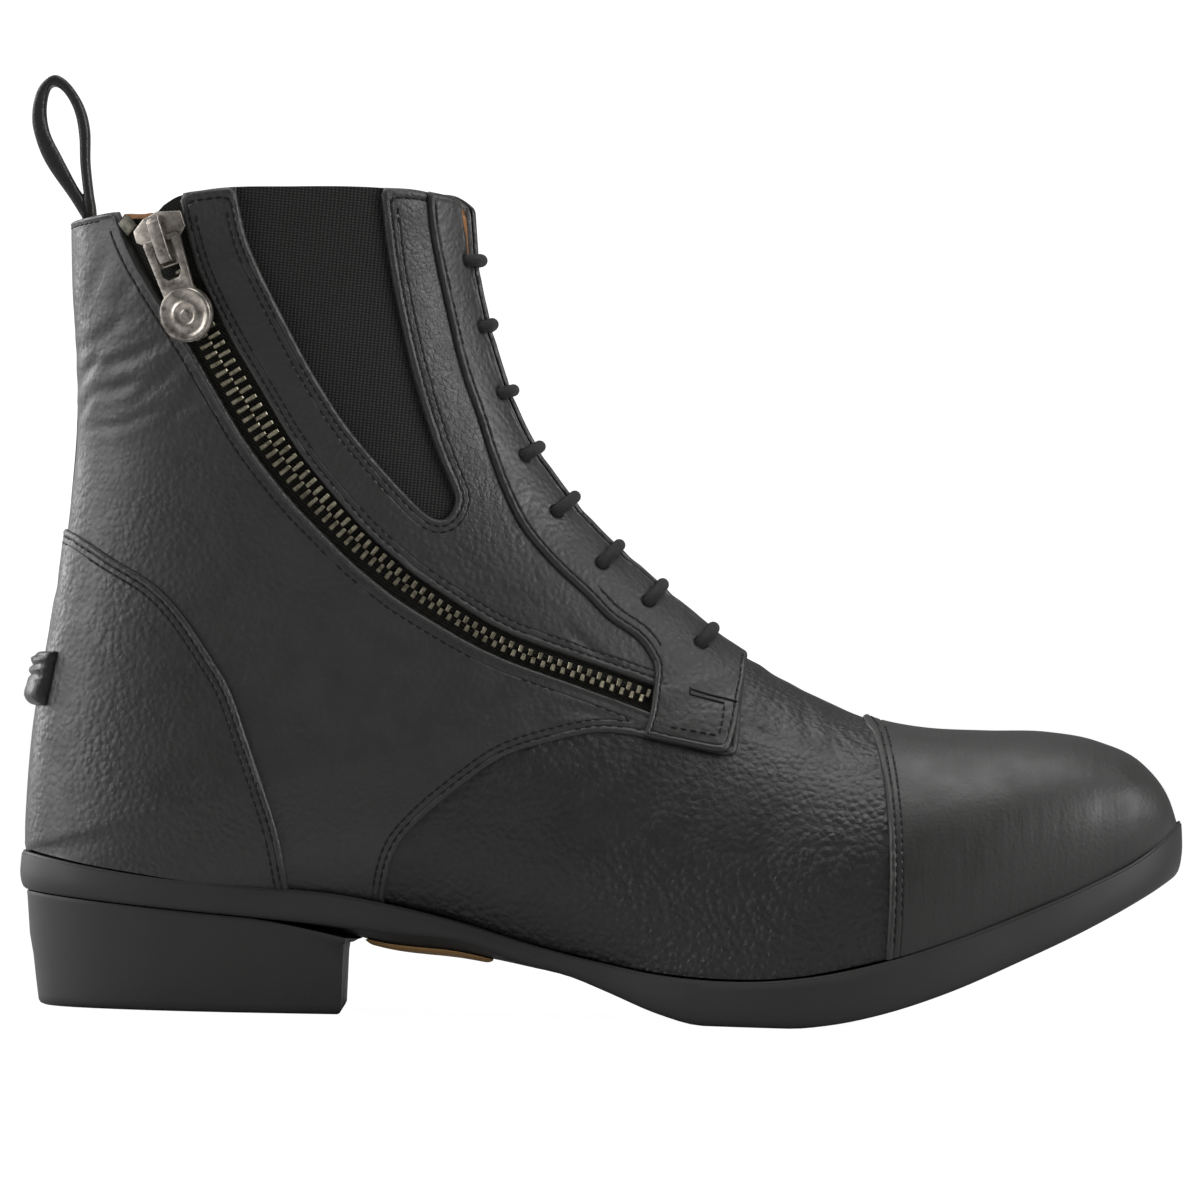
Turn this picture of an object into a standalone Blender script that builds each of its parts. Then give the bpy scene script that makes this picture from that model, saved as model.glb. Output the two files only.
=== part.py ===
"""Left paddock boot, size EU 42: toe along +X, inner side towards -Y, sole on z = 0. Lengths in the tables are millimetres."""

import math

import bmesh
import bpy
import numpy as np
from mathutils import Matrix, Vector

# Sizes
MM = 0.001
UPPER_WALL = 2.0
WELT = 2.3
FIT_GAP = 0.3
OVERLAY = 1.0
ELASTIC_WALL = 1.2
INSOLE_THICK = 3.0
TONGUE_WALL = 1.8
TONGUE_HALF = 21.0
LACE_RADIUS = 1.45
LACE_LIFT = 2.2
COLUMNS = 15
ACROSS = 6
HEEL_BREAST = -65.0
PULLER_ARM_WIDTH = 10.2
PULLER_DISC_RADIUS = 7.1
PIN_HEIGHT = 3.1

# The sole's edge from above, from the heel's back round the inner side to the toe and back
OUTLINE = (
    # x, y
    (-148.8, 0.0), (-145.4, -14.0), (-136.0, -24.6), (-118.0, -32.0), (-98.0, -34.4),
    (-75.0, -33.0), (-50.0, -29.8), (-25.0, -29.6), (0.0, -36.0), (25.0, -45.2),
    (45.0, -49.8), (65.0, -50.6), (85.0, -47.8), (105.0, -41.8), (122.0, -35.6),
    (136.0, -27.4), (145.2, -17.6), (148.9, -5.6), (146.4, 6.4), (138.8, 18.4),
    (127.0, 29.4), (110.0, 39.8), (90.0, 47.4), (68.0, 51.6), (45.0, 53.6),
    (20.0, 52.2), (-5.0, 47.6), (-30.0, 41.4), (-55.0, 37.2), (-80.0, 35.8),
    (-100.0, 35.4), (-120.0, 32.0), (-136.4, 24.6), (-145.6, 14.0),
)
SOLE_HEIGHTS = (
    # x, top edge, underside at the edge, underside in the middle
    (-149.0, 39.9, 29.6, 29.6),
    (-130.0, 36.6, 27.8, 27.8),
    (-111.0, 34.1, 26.2, 26.2),
    (-88.0, 32.6, 24.4, 24.4),
    (-65.0, 30.8, 22.2, 20.0),
    (-54.0, 28.8, 20.8, 17.2),
    (-34.0, 24.2, 18.6, 15.0),
    (-18.0, 19.6, 13.6, 12.4),
    (-6.9, 16.9, 11.1, 10.6),
    (2.4, 15.0, 7.6, 7.6),
    (15.5, 12.7, 2.5, 2.5),
    (27.0, 11.8, 0.0, 0.0),
    (48.0, 12.6, 0.0, 0.0),
    (58.0, 14.2, 1.0, 1.0),
    (72.5, 17.8, 4.3, 4.3),
    (88.4, 23.1, 9.8, 9.8),
    (106.2, 30.2, 17.7, 17.7),
    (122.7, 37.4, 25.6, 25.6),
    (139.5, 46.2, 34.8, 34.8),
    (149.0, 52.4, 40.6, 40.6),
)
SOLE_SIDE = (
    # inset from the outline, share of the side's height
    (2.0, 1.0),
    (0.7, 0.97),
    (0.2, 0.74),
    (0.0, 0.46),
    (0.5, 0.16),
    (2.4, 0.0),
)
HEEL_SIDE = (
    # inset from the outline, height, breast ahead of its foot, swelling of the breast's middle
    (2.0, 99.0, 0.9, 3.2),
    (3.1, 18.0, 0.3, 0.9),
    (4.7, 8.0, 0.1, 0.0),
    (5.6, 1.4, 0.0, 0.0),
    (7.0, 0.0, -0.8, 0.0),
)

# The upper as a fan of sections: level in the shaft, steep over the instep, upright over the toes.
# Each runs from the front ridge to the back seam or, below the heel corner, to the sole's top edge.
SECTIONS = (
    # front x, z, rear x, z, inner half width, outer half width, place of the widest, front power,
    # rear power, middle y, inner half gap of the throat, outer half gap
    (-36.0, 205.0, -139.0, 199.6, 34.5, 35.0, 0.50, 2.05, 2.10, 0.0, 10.2, 6.6),
    (-33.8, 186.0, -138.2, 183.5, 34.0, 34.5, 0.50, 2.05, 2.10, 0.0, 9.9, 6.5),
    (-28.6, 167.0, -136.8, 165.0, 33.0, 33.5, 0.50, 2.05, 2.10, 0.0, 9.6, 6.4),
    (-21.3, 149.6, -136.4, 146.0, 32.0, 32.6, 0.50, 2.05, 2.10, 0.0, 9.0, 6.2),
    (-11.4, 135.0, -137.6, 127.0, 31.5, 32.0, 0.50, 2.05, 2.15, 0.0, 8.4, 6.0),
    (-1.2, 123.6, -139.3, 109.0, 31.5, 32.2, 0.50, 2.05, 2.20, 0.0, 8.0, 5.8),
    (9.0, 114.6, -142.2, 90.0, 32.4, 33.0, 0.50, 2.10, 2.30, 0.0, 7.6, 5.6),
    (17.4, 107.4, -144.9, 71.6, 33.6, 34.4, 0.50, 2.10, 2.40, 0.0, 7.0, 5.4),
    (22.6, 103.2, -145.9, 57.5, 34.6, 35.6, 0.50, 2.10, 2.48, 0.0, 6.4, 5.1),
    (26.4, 100.1, -146.3, 47.0, 35.3, 36.2, 0.50, 2.10, 2.55, 0.0, 5.7, 4.8),
    (29.5, 97.6, -146.2, 41.4, 35.8, 36.8, 0.50, 2.10, 2.60, 0.0, 5.0, 4.4),
    (32.0, 95.7, -146.2, 40.2, 36.1, 37.3, 0.50, 2.10, 2.60, 0.0, 4.2, 3.8),
    (34.3, 94.0, -144.8, 39.9, 36.3, 37.8, 0.50, 2.10, 2.60, 0.0, 3.2, 3.0),
    (36.8, 92.4, -140.0, 38.6, 36.4, 38.5, 0.50, 2.10, 2.60, 0.0, 1.8, 1.8),
    (39.6, 91.0, -127.5, 36.4, 36.5, 39.6, 0.50, 2.10, 2.60, 0.2, 0.0, 0.0),
    (43.4, 88.4, -106.0, 33.7, 36.6, 41.2, 0.51, 2.10, 2.55, 0.6, 0.0, 0.0),
    (48.0, 86.2, -78.0, 31.8, 36.8, 43.4, 0.53, 2.10, 2.48, 1.0, 0.0, 0.0),
    (52.6, 84.0, -48.0, 27.6, 37.6, 45.8, 0.57, 2.10, 2.40, 1.4, 0.0, 0.0),
    (58.2, 81.5, -16.0, 19.1, 40.6, 48.8, 0.61, 2.10, 2.30, 1.9, 0.0, 0.0),
    (65.0, 78.6, 16.0, 12.9, 44.6, 51.8, 0.66, 2.10, 2.20, 2.2, 0.0, 0.0),
    (73.4, 76.1, 44.0, 12.4, 48.6, 52.4, 0.70, 2.10, 2.20, 2.2, 0.0, 0.0),
    (84.0, 74.7, 66.0, 16.4, 49.4, 50.8, 0.72, 2.15, 2.20, 1.6, 0.0, 0.0),
    (98.5, 74.4, 88.0, 23.2, 46.4, 46.8, 0.72, 2.20, 2.20, 0.8, 0.0, 0.0),
    (114.0, 74.4, 108.0, 31.2, 40.6, 40.2, 0.70, 2.25, 2.20, -0.4, 0.0, 0.0),
    (126.6, 72.3, 124.0, 38.1, 34.0, 31.0, 0.68, 2.30, 2.20, -2.0, 0.0, 0.0),
    (137.2, 67.4, 136.0, 44.4, 26.6, 20.8, 0.64, 2.30, 2.20, -3.6, 0.0, 0.0),
    (144.0, 59.0, 143.6, 48.9, 16.6, 8.4, 0.60, 2.20, 2.20, -4.8, 0.0, 0.0),
    (146.6, 51.6, 146.6, 51.0, 5.2, -5.2, 0.55, 2.00, 2.00, -5.2, 0.0, 0.0),
)
HEEL_CORNER_ROW = 11
THROAT_END_ROW = 14
COLLAR = (
    # x, height of the top line
    (-140.0, 200.4), (-128.0, 202.4), (-117.0, 203.2), (-111.5, 206.6), (-104.0, 208.2),
    (-81.0, 209.6), (-60.0, 210.0), (-48.0, 209.5), (-40.0, 207.2), (-35.4, 203.0),
)

# Panel lines, seen from the side: x, z
TOE_CAP_SEAM = (
    (66.5, 90.0), (66.6, 78.0), (68.9, 73.4), (70.9, 63.8), (72.2, 52.1), (72.7, 40.3),
    (72.6, 28.2), (72.2, 18.0), (72.2, 5.0),
)
COUNTER_SEAM = (
    (-156.0, 128.0), (-138.5, 122.0), (-125.1, 114.3), (-115.0, 108.3), (-107.6, 101.1),
    (-100.1, 90.6), (-94.6, 81.7), (-89.6, 68.6), (-84.4, 54.3), (-81.5, 45.5), (-79.2, 34.5),
    (-77.6, 24.0),
)
FACING_EDGE = (
    (-48.6, 216.0), (-48.3, 208.9), (-47.0, 198.3), (-42.6, 179.6), (-38.6, 164.4),
    (-34.2, 152.4), (-30.9, 142.9), (-26.8, 133.1), (-21.8, 124.1), (-14.3, 115.5),
    (-5.4, 107.5), (0.5, 101.7), (7.8, 96.7), (11.5, 92.0), (12.6, 88.2), (11.7, 78.6),
    (10.0, 72.2), (18.2, 70.5), (31.4, 68.2), (34.2, 70.2), (35.1, 81.4), (35.9, 91.0),
    (36.4, 99.0), (36.0, 130.0), (-20.0, 216.0),
)
GUSSET = (
    (-95.9, 218.0), (-95.9, 207.2), (-92.2, 193.8), (-82.3, 174.4), (-74.7, 161.1),
    (-65.9, 148.3), (-54.8, 135.9), (-47.3, 128.5), (-43.3, 126.2), (-40.4, 127.2),
    (-38.7, 131.3), (-40.1, 135.5), (-44.5, 145.8), (-50.4, 164.1), (-56.0, 187.5),
    (-59.3, 208.7), (-59.6, 218.0),
)
ZIP = (
    # x, z, opening below the teeth, opening above the teeth
    (-118.6, 216.0, 12.0, 8.0),
    (-116.4, 203.6, 10.5, 8.0),
    (-112.9, 192.5, 9.5, 8.0),
    (-108.9, 184.6, 9.2, 7.4),
    (-100.6, 170.1, 8.8, 6.2),
    (-91.2, 154.8, 8.0, 5.0),
    (-79.2, 137.7, 7.2, 4.2),
    (-65.3, 122.0, 6.4, 3.8),
    (-47.7, 108.6, 5.4, 3.5),
    (-26.5, 95.8, 4.6, 3.4),
    (-3.0, 86.4, 3.8, 3.4),
    (10.5, 82.2, 3.4, 3.2),
)
CHAIN_HALF = ((0.0, 3.3), (160.0, 2.7))
SLIDER_PIN = (-113.6, 195.4)
PULLER_DISC = (-107.0, 176.7)
ZIP_STOP = (-123.2, 199.0)
LACE_HOLES = (
    # x, z
    (-38.6, 192.6), (-34.5, 175.4), (-29.2, 158.6), (-22.6, 142.5), (-14.1, 128.4),
    (-2.1, 115.3), (9.9, 105.9), (23.6, 95.5),
)
PULL_LOOP = (
    # outer x, z, inner x, z
    (-136.6, 201.8, -136.9, 207.9),
    (-139.9, 206.8, -138.6, 210.4),
    (-146.2, 215.6, -142.6, 217.6),
    (-149.2, 222.9, -145.7, 223.6),
    (-149.9, 228.6, -146.7, 229.4),
    (-148.4, 234.7, -145.9, 234.4),
    (-144.6, 238.0, -144.0, 235.3),
    (-140.9, 236.2, -141.3, 233.0),
    (-137.2, 230.8, -138.9, 228.4),
    (-135.4, 224.4, -137.7, 222.4),
    (-135.1, 216.1, -137.3, 215.8),
    (-134.1, 208.2, -136.6, 210.2),
    (-133.2, 202.6, -136.3, 208.2),
    (-132.7, 190.0, -136.3, 207.6),
    (-135.2, 190.0, -136.5, 207.5),
    (-135.4, 200.6, -136.7, 207.6),
)
SPUR_REST = ((-156.0, 88.4), (-128.0, 90.0), (-128.0, 77.4), (-156.0, 75.8))
SPUR_REST_HALF = 12.0

# Materials
PALETTE = {
    "leather": ((0.030, 0.028, 0.028), 0.48, 0.0),
    "rubber": ((0.022, 0.022, 0.021), 0.62, 0.0),
    "elastic": ((0.018, 0.018, 0.018), 0.85, 0.0),
    "tape": ((0.014, 0.014, 0.013), 0.8, 0.0),
    "teeth_metal": ((0.20, 0.17, 0.12), 0.38, 1.0),
    "slider_metal": ((0.38, 0.35, 0.32), 0.36, 1.0),
    "tan_leather": ((0.44, 0.20, 0.06), 0.6, 0.0),
    "lining": ((0.40, 0.19, 0.06), 0.75, 0.0),
    "lace_cord": ((0.015, 0.015, 0.015), 0.8, 0.0),
}


def finish(obj, slot):
    """Gives an object its material and puts it in the scene."""
    material = bpy.data.materials.get(slot)
    if material is None:
        colour, rough, metal = PALETTE[slot]
        material = bpy.data.materials.new(slot)
        material.use_nodes = True
        shader = material.node_tree.nodes["Principled BSDF"]
        shader.inputs["Base Color"].default_value = (*colour, 1.0)
        shader.inputs["Roughness"].default_value = rough
        shader.inputs["Metallic"].default_value = metal
        material.diffuse_color = (*colour, 1.0)
    obj.data.materials.append(material)
    bpy.context.scene.collection.objects.link(obj)
    return obj


def solid(name, points, faces, slot=None):
    """An object from points in mm and faces, turned to face outwards."""
    points = np.asarray(points, float)
    mesh = bpy.data.meshes.new(name)
    mesh.from_pydata([tuple(p * MM) for p in points], [], [tuple(f) for f in faces])
    work = bmesh.new()
    work.from_mesh(mesh)
    bmesh.ops.triangulate(work, faces=[f for f in work.faces if len(f.verts) > 3])
    bmesh.ops.recalc_face_normals(work, faces=work.faces)
    if work.calc_volume(signed=True) < 0:
        bmesh.ops.reverse_faces(work, faces=work.faces)
    work.to_mesh(mesh)
    work.free()
    obj = bpy.data.objects.new(name, mesh)
    if slot:
        return finish(obj, slot)
    bpy.context.scene.collection.objects.link(obj)
    obj.hide_render = True
    obj.display_type = "WIRE"
    return obj


def cut(obj, cutter, operation):
    """A live Boolean."""
    boolean = obj.modifiers.new(cutter.name, "BOOLEAN")
    boolean.object = cutter
    boolean.operation = operation
    boolean.solver = "EXACT"
    return obj


# Curves
def curve(table, q, column=1, flat=False):
    """A smooth curve through one column of a table, over its first column. With flat, level stretches stay level."""
    xs = np.array([row[0] for row in table], float)
    ys = np.array([row[column] for row in table], float)
    h = np.diff(xs)
    d = np.diff(ys) / h
    m = np.empty(len(xs))
    m[0] = d[0]
    m[-1] = d[-1]
    m[1:-1] = (h[1:] * d[:-1] + h[:-1] * d[1:]) / (h[1:] + h[:-1])
    if flat:
        m[1:-1][d[:-1] * d[1:] <= 0] = 0
    q = np.clip(np.asarray(q, float), xs[0], xs[-1])
    k = np.clip(np.searchsorted(xs, q, side="right") - 1, 0, len(h) - 1)
    t = (q - xs[k]) / h[k]
    rise = (1 + 2 * t) * (1 - t) ** 2 * ys[k] + t * (1 - t) ** 2 * h[k] * m[k]
    return rise + t * t * (3 - 2 * t) * ys[k + 1] + t * t * (t - 1) * h[k] * m[k + 1]


def closed_curve(points, per=12):
    """A dense closed curve through points."""
    p = np.array(points, float)
    out = []
    for i in range(len(p)):
        a, b, c, d = p[i - 1], p[i], p[(i + 1) % len(p)], p[(i + 2) % len(p)]
        la, lb, lc = (max(np.linalg.norm(v), 1e-9) ** 0.5 for v in (b - a, c - b, d - c))
        m1 = lb * ((b - a) / la - (c - a) / (la + lb) + (c - b) / lb)
        m2 = lb * ((c - b) / lb - (d - b) / (lb + lc) + (d - c) / lc)
        t = np.linspace(0, 1, per, endpoint=False)[:, None]
        bend = (1 + 2 * t) * (1 - t) ** 2 * b + t * (1 - t) ** 2 * m1
        out.append(bend + t * t * (3 - 2 * t) * c + t * t * (t - 1) * m2)
    return np.concatenate(out)


def inset(ring, by):
    """A closed curve moved to its left."""
    tangent = np.roll(ring, -1, 0) - np.roll(ring, 1, 0)
    tangent /= np.linalg.norm(tangent, axis=1)[:, None]
    return ring + by * np.stack([-tangent[:, 1], tangent[:, 0]], 1)


def sides(ring):
    """A plan ring as its inner and its outer edge, each from the heel to the toe."""
    ring = np.roll(ring, -int(np.argmin(ring[:, 0])), 0)
    toe = int(np.argmax(ring[:, 0]))
    return ring[: toe + 1], np.concatenate([ring[toe:], ring[:1]])[::-1]


def along(line, share):
    """Points at shares of a line's length."""
    line = np.asarray(line, float)
    run = np.concatenate([[0], np.cumsum(np.linalg.norm(np.diff(line, axis=0), axis=1))])
    return np.stack([np.interp(np.asarray(share) * run[-1], run, line[:, k]) for k in range(line.shape[1])], 1)


EDGE = closed_curve(OUTLINE)
FEATHER = sides(inset(EDGE, WELT))


def sole_height(x, column):
    return curve(SOLE_HEIGHTS, x, column, flat=column > 1)


# The upper's surface
KNOTS = np.concatenate([[0], np.cumsum([
    (math.dist(a[:2], b[:2]) + math.dist(a[2:4], b[2:4])) / 2
    for a, b in zip(SECTIONS, SECTIONS[1:])
])])
KNOTTED = [(knot, *row) for knot, row in zip(KNOTS, SECTIONS)]
HEEL_CORNER = KNOTS[HEEL_CORNER_ROW]
THROAT_END = KNOTS[THROAT_END_ROW]
TOE = KNOTS[-1]


def reach(side, x):
    """The sole's top edge on one side, as a distance from y = 0."""
    line = FEATHER[0 if side < 0 else 1]
    return side * np.interp(x, line[:, 0], line[:, 1])


def skin(s, v, side, throat=True):
    """The upper's outer face in mm: s from the collar to the toe, v from the front ridge to the back or the sole."""
    s, v = np.broadcast_arrays(np.asarray(s, float), np.asarray(v, float))
    front_x, front_z, rear_x, rear_z, inner, outer, at, n1, n2, mid, gap_in, gap_out = (
        curve(KNOTTED, s, k + 1) for k in range(12)
    )
    tip = np.clip((TOE - s) / 0.01, 0, 1)
    foot = np.where(s > HEEL_CORNER, reach(side, rear_x) - side * mid, 0.0)
    wide = np.maximum(inner + mid if side < 0 else outer - mid, foot + 0.7) * tip
    foot = np.clip(foot, 0, None) * tip
    gap = np.where((s < THROAT_END) & throat, np.clip(gap_in if side < 0 else gap_out, 0, None), 0.0)
    ratio = 1 / np.maximum(wide, 1e-6)
    start = np.arcsin(np.clip(gap * ratio, 0, 1) ** (n1 / 2))
    theta = start + (np.pi / 2 - start) * np.clip(2 * v, 0, 1)
    last = np.arccos(np.clip(foot * ratio, 0, 1) ** (n2 / 2))
    length = (1 - at) / np.maximum(np.sin(last) ** (2 / n2), 1e-6)
    phi = last * np.clip(2 * v - 1, 0, 1)
    ahead = v <= 0.5
    share = np.where(ahead, at * (1 - np.cos(theta) ** (2 / n1)), at + length * np.sin(phi) ** (2 / n2))
    out = wide * np.where(ahead, np.sin(theta) ** (2 / n1), np.cos(phi) ** (2 / n2))
    x = front_x + (rear_x - front_x) * share
    z = front_z + (rear_z - front_z) * share
    first = SECTIONS[0]
    level = first[1] + (first[3] - first[1]) * (x - first[0]) / (first[2] - first[0])
    z = z + (curve(COLLAR, x) - level) * np.clip(1 - s / 34.0, 0, 1) ** 2
    return np.stack([x, mid + side * out, z], -1)


def spot(x, z, side):
    """The point of the surface seen at x, z from one side, and its outward normal."""
    s, v = np.meshgrid(np.linspace(0.5, TOE - 0.5, 240), np.linspace(0, 1, 120), indexing="ij")
    seen = skin(s, v, side, False)
    best = np.argmin((seen[..., 0] - x) ** 2 + (seen[..., 2] - z) ** 2)
    s, v = s.flat[best], v.flat[best]
    for _ in range(12):
        here = skin(s, v, side, False)
        ds = (skin(s + 0.05, v, side, False) - here) / 0.05
        dv = (skin(s, v + 0.0005, side, False) - here) / 0.0005
        grid = np.array([[ds[0], dv[0]], [ds[2], dv[2]]])
        move = np.linalg.lstsq(grid, np.array([x - here[0], z - here[2]]), rcond=None)[0]
        s = float(np.clip(s + np.clip(move[0], -4, 4), 0, TOE))
        v = float(np.clip(v + np.clip(move[1], -0.04, 0.04), 0, 0.999))
    normal = np.cross(ds, dv) * -side
    normal /= np.linalg.norm(normal)
    return here, normal if normal[1] * side > 0 else -normal


def weld(points, faces):
    """Points that coincide made one, with what collapsed left out."""
    _, first, index = np.unique(np.round(points, 3), axis=0, return_index=True, return_inverse=True)
    kept = []
    for face in faces:
        ring = []
        for k in face:
            k = int(index.reshape(-1)[k])
            if k not in ring:
                ring.append(k)
        kept.append(ring)
    return points[first], kept


def normals(points, faces):
    total = np.zeros_like(points)
    for face in faces:
        if len(face) < 3:
            continue
        p = points[face]
        area = sum((np.cross(p[k] - p[0], p[k + 1] - p[0]) for k in range(1, len(face) - 1)), np.zeros(3))
        total[face] += area
    return total / np.maximum(np.linalg.norm(total, axis=1), 1e-9)[:, None]


def surface(s, v, throat=True):
    """Both sides of the skin as one mesh: points, faces and the s of each face."""
    points, faces, places = [], [], []
    for side in (-1, 1):
        base = sum(len(p) for p in points)
        grid = np.stack([skin(a, b, side, throat) for a, b in zip(s, v)])
        rows, columns = grid.shape[:2]
        points.append(grid.reshape(-1, 3))
        for i in range(rows - 1):
            for j in range(columns - 1):
                a = base + i * columns + j
                face = (a, a + 1, a + columns + 1, a + columns)
                faces.append(face if side < 0 else face[::-1])
                places.append((s[i] + s[i + 1]) / 2)
    points, faces = weld(np.concatenate(points), faces)
    kept = [(f, q) for f, q in zip(faces, places) if len(f) > 2]
    return points, [f for f, _ in kept], [q for _, q in kept]


def shell(points, faces, facing, low, high, floor=None):
    """A closed solid between two offsets of a surface."""
    used = sorted({k for f in faces for k in f})
    new = {k: i for i, k in enumerate(used)}
    faces = [[new[k] for k in f] for f in faces]
    over = points[used] + high * facing[used]
    under = points[used] + low * facing[used]
    if floor is not None:
        for side in (over, under):
            side[:, 2] = np.maximum(side[:, 2], floor(side[:, 0]))
    n = len(used)
    edges = {}
    for f in faces:
        for a, b in zip(f, f[1:] + f[:1]):
            edges[(a, b)] = True
    rim = [(a, b) for a, b in edges if (b, a) not in edges]
    whole = [list(f) for f in faces] + [[k + n for k in f[::-1]] for f in faces]
    whole += [[b, a, a + n, b + n] for a, b in rim]
    return np.concatenate([over, under]), whole


def prism(name, outline, y0=-90.0, y1=90.0):
    """A side-view outline carried across the boot, as a cutter."""
    outline = np.asarray(outline, float)
    n = len(outline)
    points = [(x, y, z) for y in (y0, y1) for x, z in outline]
    faces = [list(range(n)), list(range(2 * n - 1, n - 1, -1))]
    faces += [[k, (k + 1) % n, (k + 1) % n + n, k + n] for k in range(n)]
    return solid(name, points, faces)


def tube(path, radius, corners=10):
    """A round bar along points in mm."""
    path = np.asarray(path, float)
    points, faces = [], []
    tangent = np.gradient(path, axis=0)
    tangent /= np.linalg.norm(tangent, axis=1)[:, None]
    across = np.cross(tangent[0], (0.3, 0.1, 0.9))
    for p, t in zip(path, tangent):
        across = across - t * np.dot(across, t)
        across /= np.linalg.norm(across)
        other = np.cross(t, across)
        for k in range(corners):
            turn = 2 * np.pi * k / corners
            points.append(p + radius * (np.cos(turn) * across + np.sin(turn) * other))
    for i in range(len(path) - 1):
        for k in range(corners):
            a, b = i * corners + k, i * corners + (k + 1) % corners
            faces.append([a, b, b + corners, a + corners])
    faces.append(list(range(corners))[::-1])
    faces.append([(len(path) - 1) * corners + k for k in range(corners)])
    return np.array(points), faces


def stack(rings, middle=None):
    """Closed rings joined from top to bottom. Each holds an inner edge to the toe, then the outer edge back."""
    n = len(rings[0])
    half = n // 2
    points = list(np.concatenate(rings))
    faces = []
    for r in range(len(rings) - 1):
        for k in range(n):
            a, b = r * n + k, r * n + (k + 1) % n
            faces.append([a, b, b + n, a + n])
    for k in range(half - 1):
        faces.append([n - 1 - k, n - 2 - k, k + 1, k])
    last = (len(rings) - 1) * n
    lines = [[last, last + n - 1]]
    for k in range(1, half - 1):
        a, b = points[last + k], points[last + n - 1 - k]
        line = [last + k]
        for j in range(1, ACROSS):
            share = j / ACROSS
            p = a + (b - a) * share
            if middle is not None:
                p[2] += (middle(p[0]) - p[2]) * (1 - (2 * share - 1) ** 2)
            line.append(len(points))
            points.append(p)
        line.append(last + n - 1 - k)
        lines.append(line)
    lines.append([last + half - 1, last + half])
    for a, b in zip(lines, lines[1:]):
        if len(a) == len(b):
            for j in range(len(a) - 1):
                faces.append([a[j], a[j + 1], b[j + 1], b[j]])
        else:
            faces.append(a + b[::-1])
    return np.array(points), faces


def plan_ring(by, count=40):
    """An inset of the sole's outline as matching points: the inner edge to the toe, the outer edge back."""
    inner, outer = sides(inset(EDGE, by))
    turn = 0.5 - 0.5 * np.cos(np.pi * np.linspace(0.035, 0.965, count))
    return np.concatenate([along(inner, turn), along(outer, turn)[::-1]])


def make_outsole():
    rings = []
    for by, share in SOLE_SIDE:
        ring = plan_ring(by)
        top = sole_height(ring[:, 0], 1) - FIT_GAP
        low = sole_height(ring[:, 0], 2)
        rings.append(np.column_stack([ring, low + (top - low) * share]))
    points, faces = stack(rings, lambda x: float(sole_height(x, 3)))
    solid("outsole", points, faces, "rubber")


def make_heel():
    """The heel block under the sole, its breast swelling forward in the middle at the top."""
    rings = []
    turn = np.sin(0.5 * np.pi * np.linspace(0.0, 1.0, 17))
    for by, height, ahead, swell in HEEL_SIDE:
        inner, outer = sides(inset(EDGE, by))
        breast = HEEL_BREAST + ahead
        ring = []
        for line in (inner, outer):
            back = line[line[:, 0] < breast]
            end = np.array([[breast, np.interp(breast, line[:, 0], line[:, 1])]])
            run = along(np.concatenate([back, end]), 0.03 + 0.97 * (1 - np.cos(0.5 * np.pi * turn)))
            ring.append(run)
        share = np.linspace(0, 1, 8)[1:-1]
        front = ring[0][-1] + (ring[1][-1] - ring[0][-1]) * share[:, None]
        front[:, 0] += swell * (1 - (2 * share - 1) ** 2) ** 1.5
        ring = np.concatenate([ring[0], front, ring[1][::-1]])
        z = np.full(len(ring), height)
        if height > 90:
            z = np.minimum(sole_height(ring[:, 0], 2), sole_height(ring[:, 0], 3)) - FIT_GAP
        rings.append(np.column_stack([ring, z]))
    points, faces = stack(rings)
    solid("heel", points, faces, "rubber")


def make_waist_panel():
    """The thin leather cover under the waist, between the heel's breast and the tread."""
    rows = []
    for x in np.linspace(-59.5, -27.0, 9):
        half = 15.0 - 2.4 * abs((x + 43.0) / 16.0) ** 3
        middle = 1.2
        line = []
        for y in np.linspace(middle - half, middle + half, 7):
            inner = np.interp(x, FEATHER[0][:, 0], FEATHER[0][:, 1])
            outer = np.interp(x, FEATHER[1][:, 0], FEATHER[1][:, 1])
            share = np.clip((y - inner) / (outer - inner), 0, 1)
            edge = float(sole_height(x, 2))
            line.append((x, y, edge + (float(sole_height(x, 3)) - edge) * (1 - (2 * share - 1) ** 2) - 0.35))
        rows.append(line)
    grid = np.array(rows)
    n, m = grid.shape[:2]
    faces = [[i * m + j, i * m + j + 1, i * m + m + j + 1, i * m + m + j] for i in range(n - 1) for j in range(m - 1)]
    points = grid.reshape(-1, 3)
    down = np.tile((0.0, 0.0, -1.0), (len(points), 1))
    points, faces = shell(points, faces, down, 0.0, 0.9)
    solid("waist_panel", points, faces, "tan_leather")


def make_insole():
    rings = []
    for by, rise in ((5.9, INSOLE_THICK), (5.6, INSOLE_THICK - 0.6), (5.8, 0.0)):
        ring = plan_ring(by, 26)
        rings.append(np.column_stack([ring, sole_height(ring[:, 0], 1) + FIT_GAP + rise]))
    points, faces = stack(rings)
    solid("insole", points, faces, "lining")


def window(name, outline, by=0.0):
    """A cutter on a side-view outline, drawn in by a distance."""
    ring = np.array(outline, float)
    if by:
        area = np.sum(ring[:, 0] * np.roll(ring[:, 1], -1) - np.roll(ring[:, 0], -1) * ring[:, 1])
        ring = inset(ring, by if area > 0 else -by)
    return ring


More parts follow.
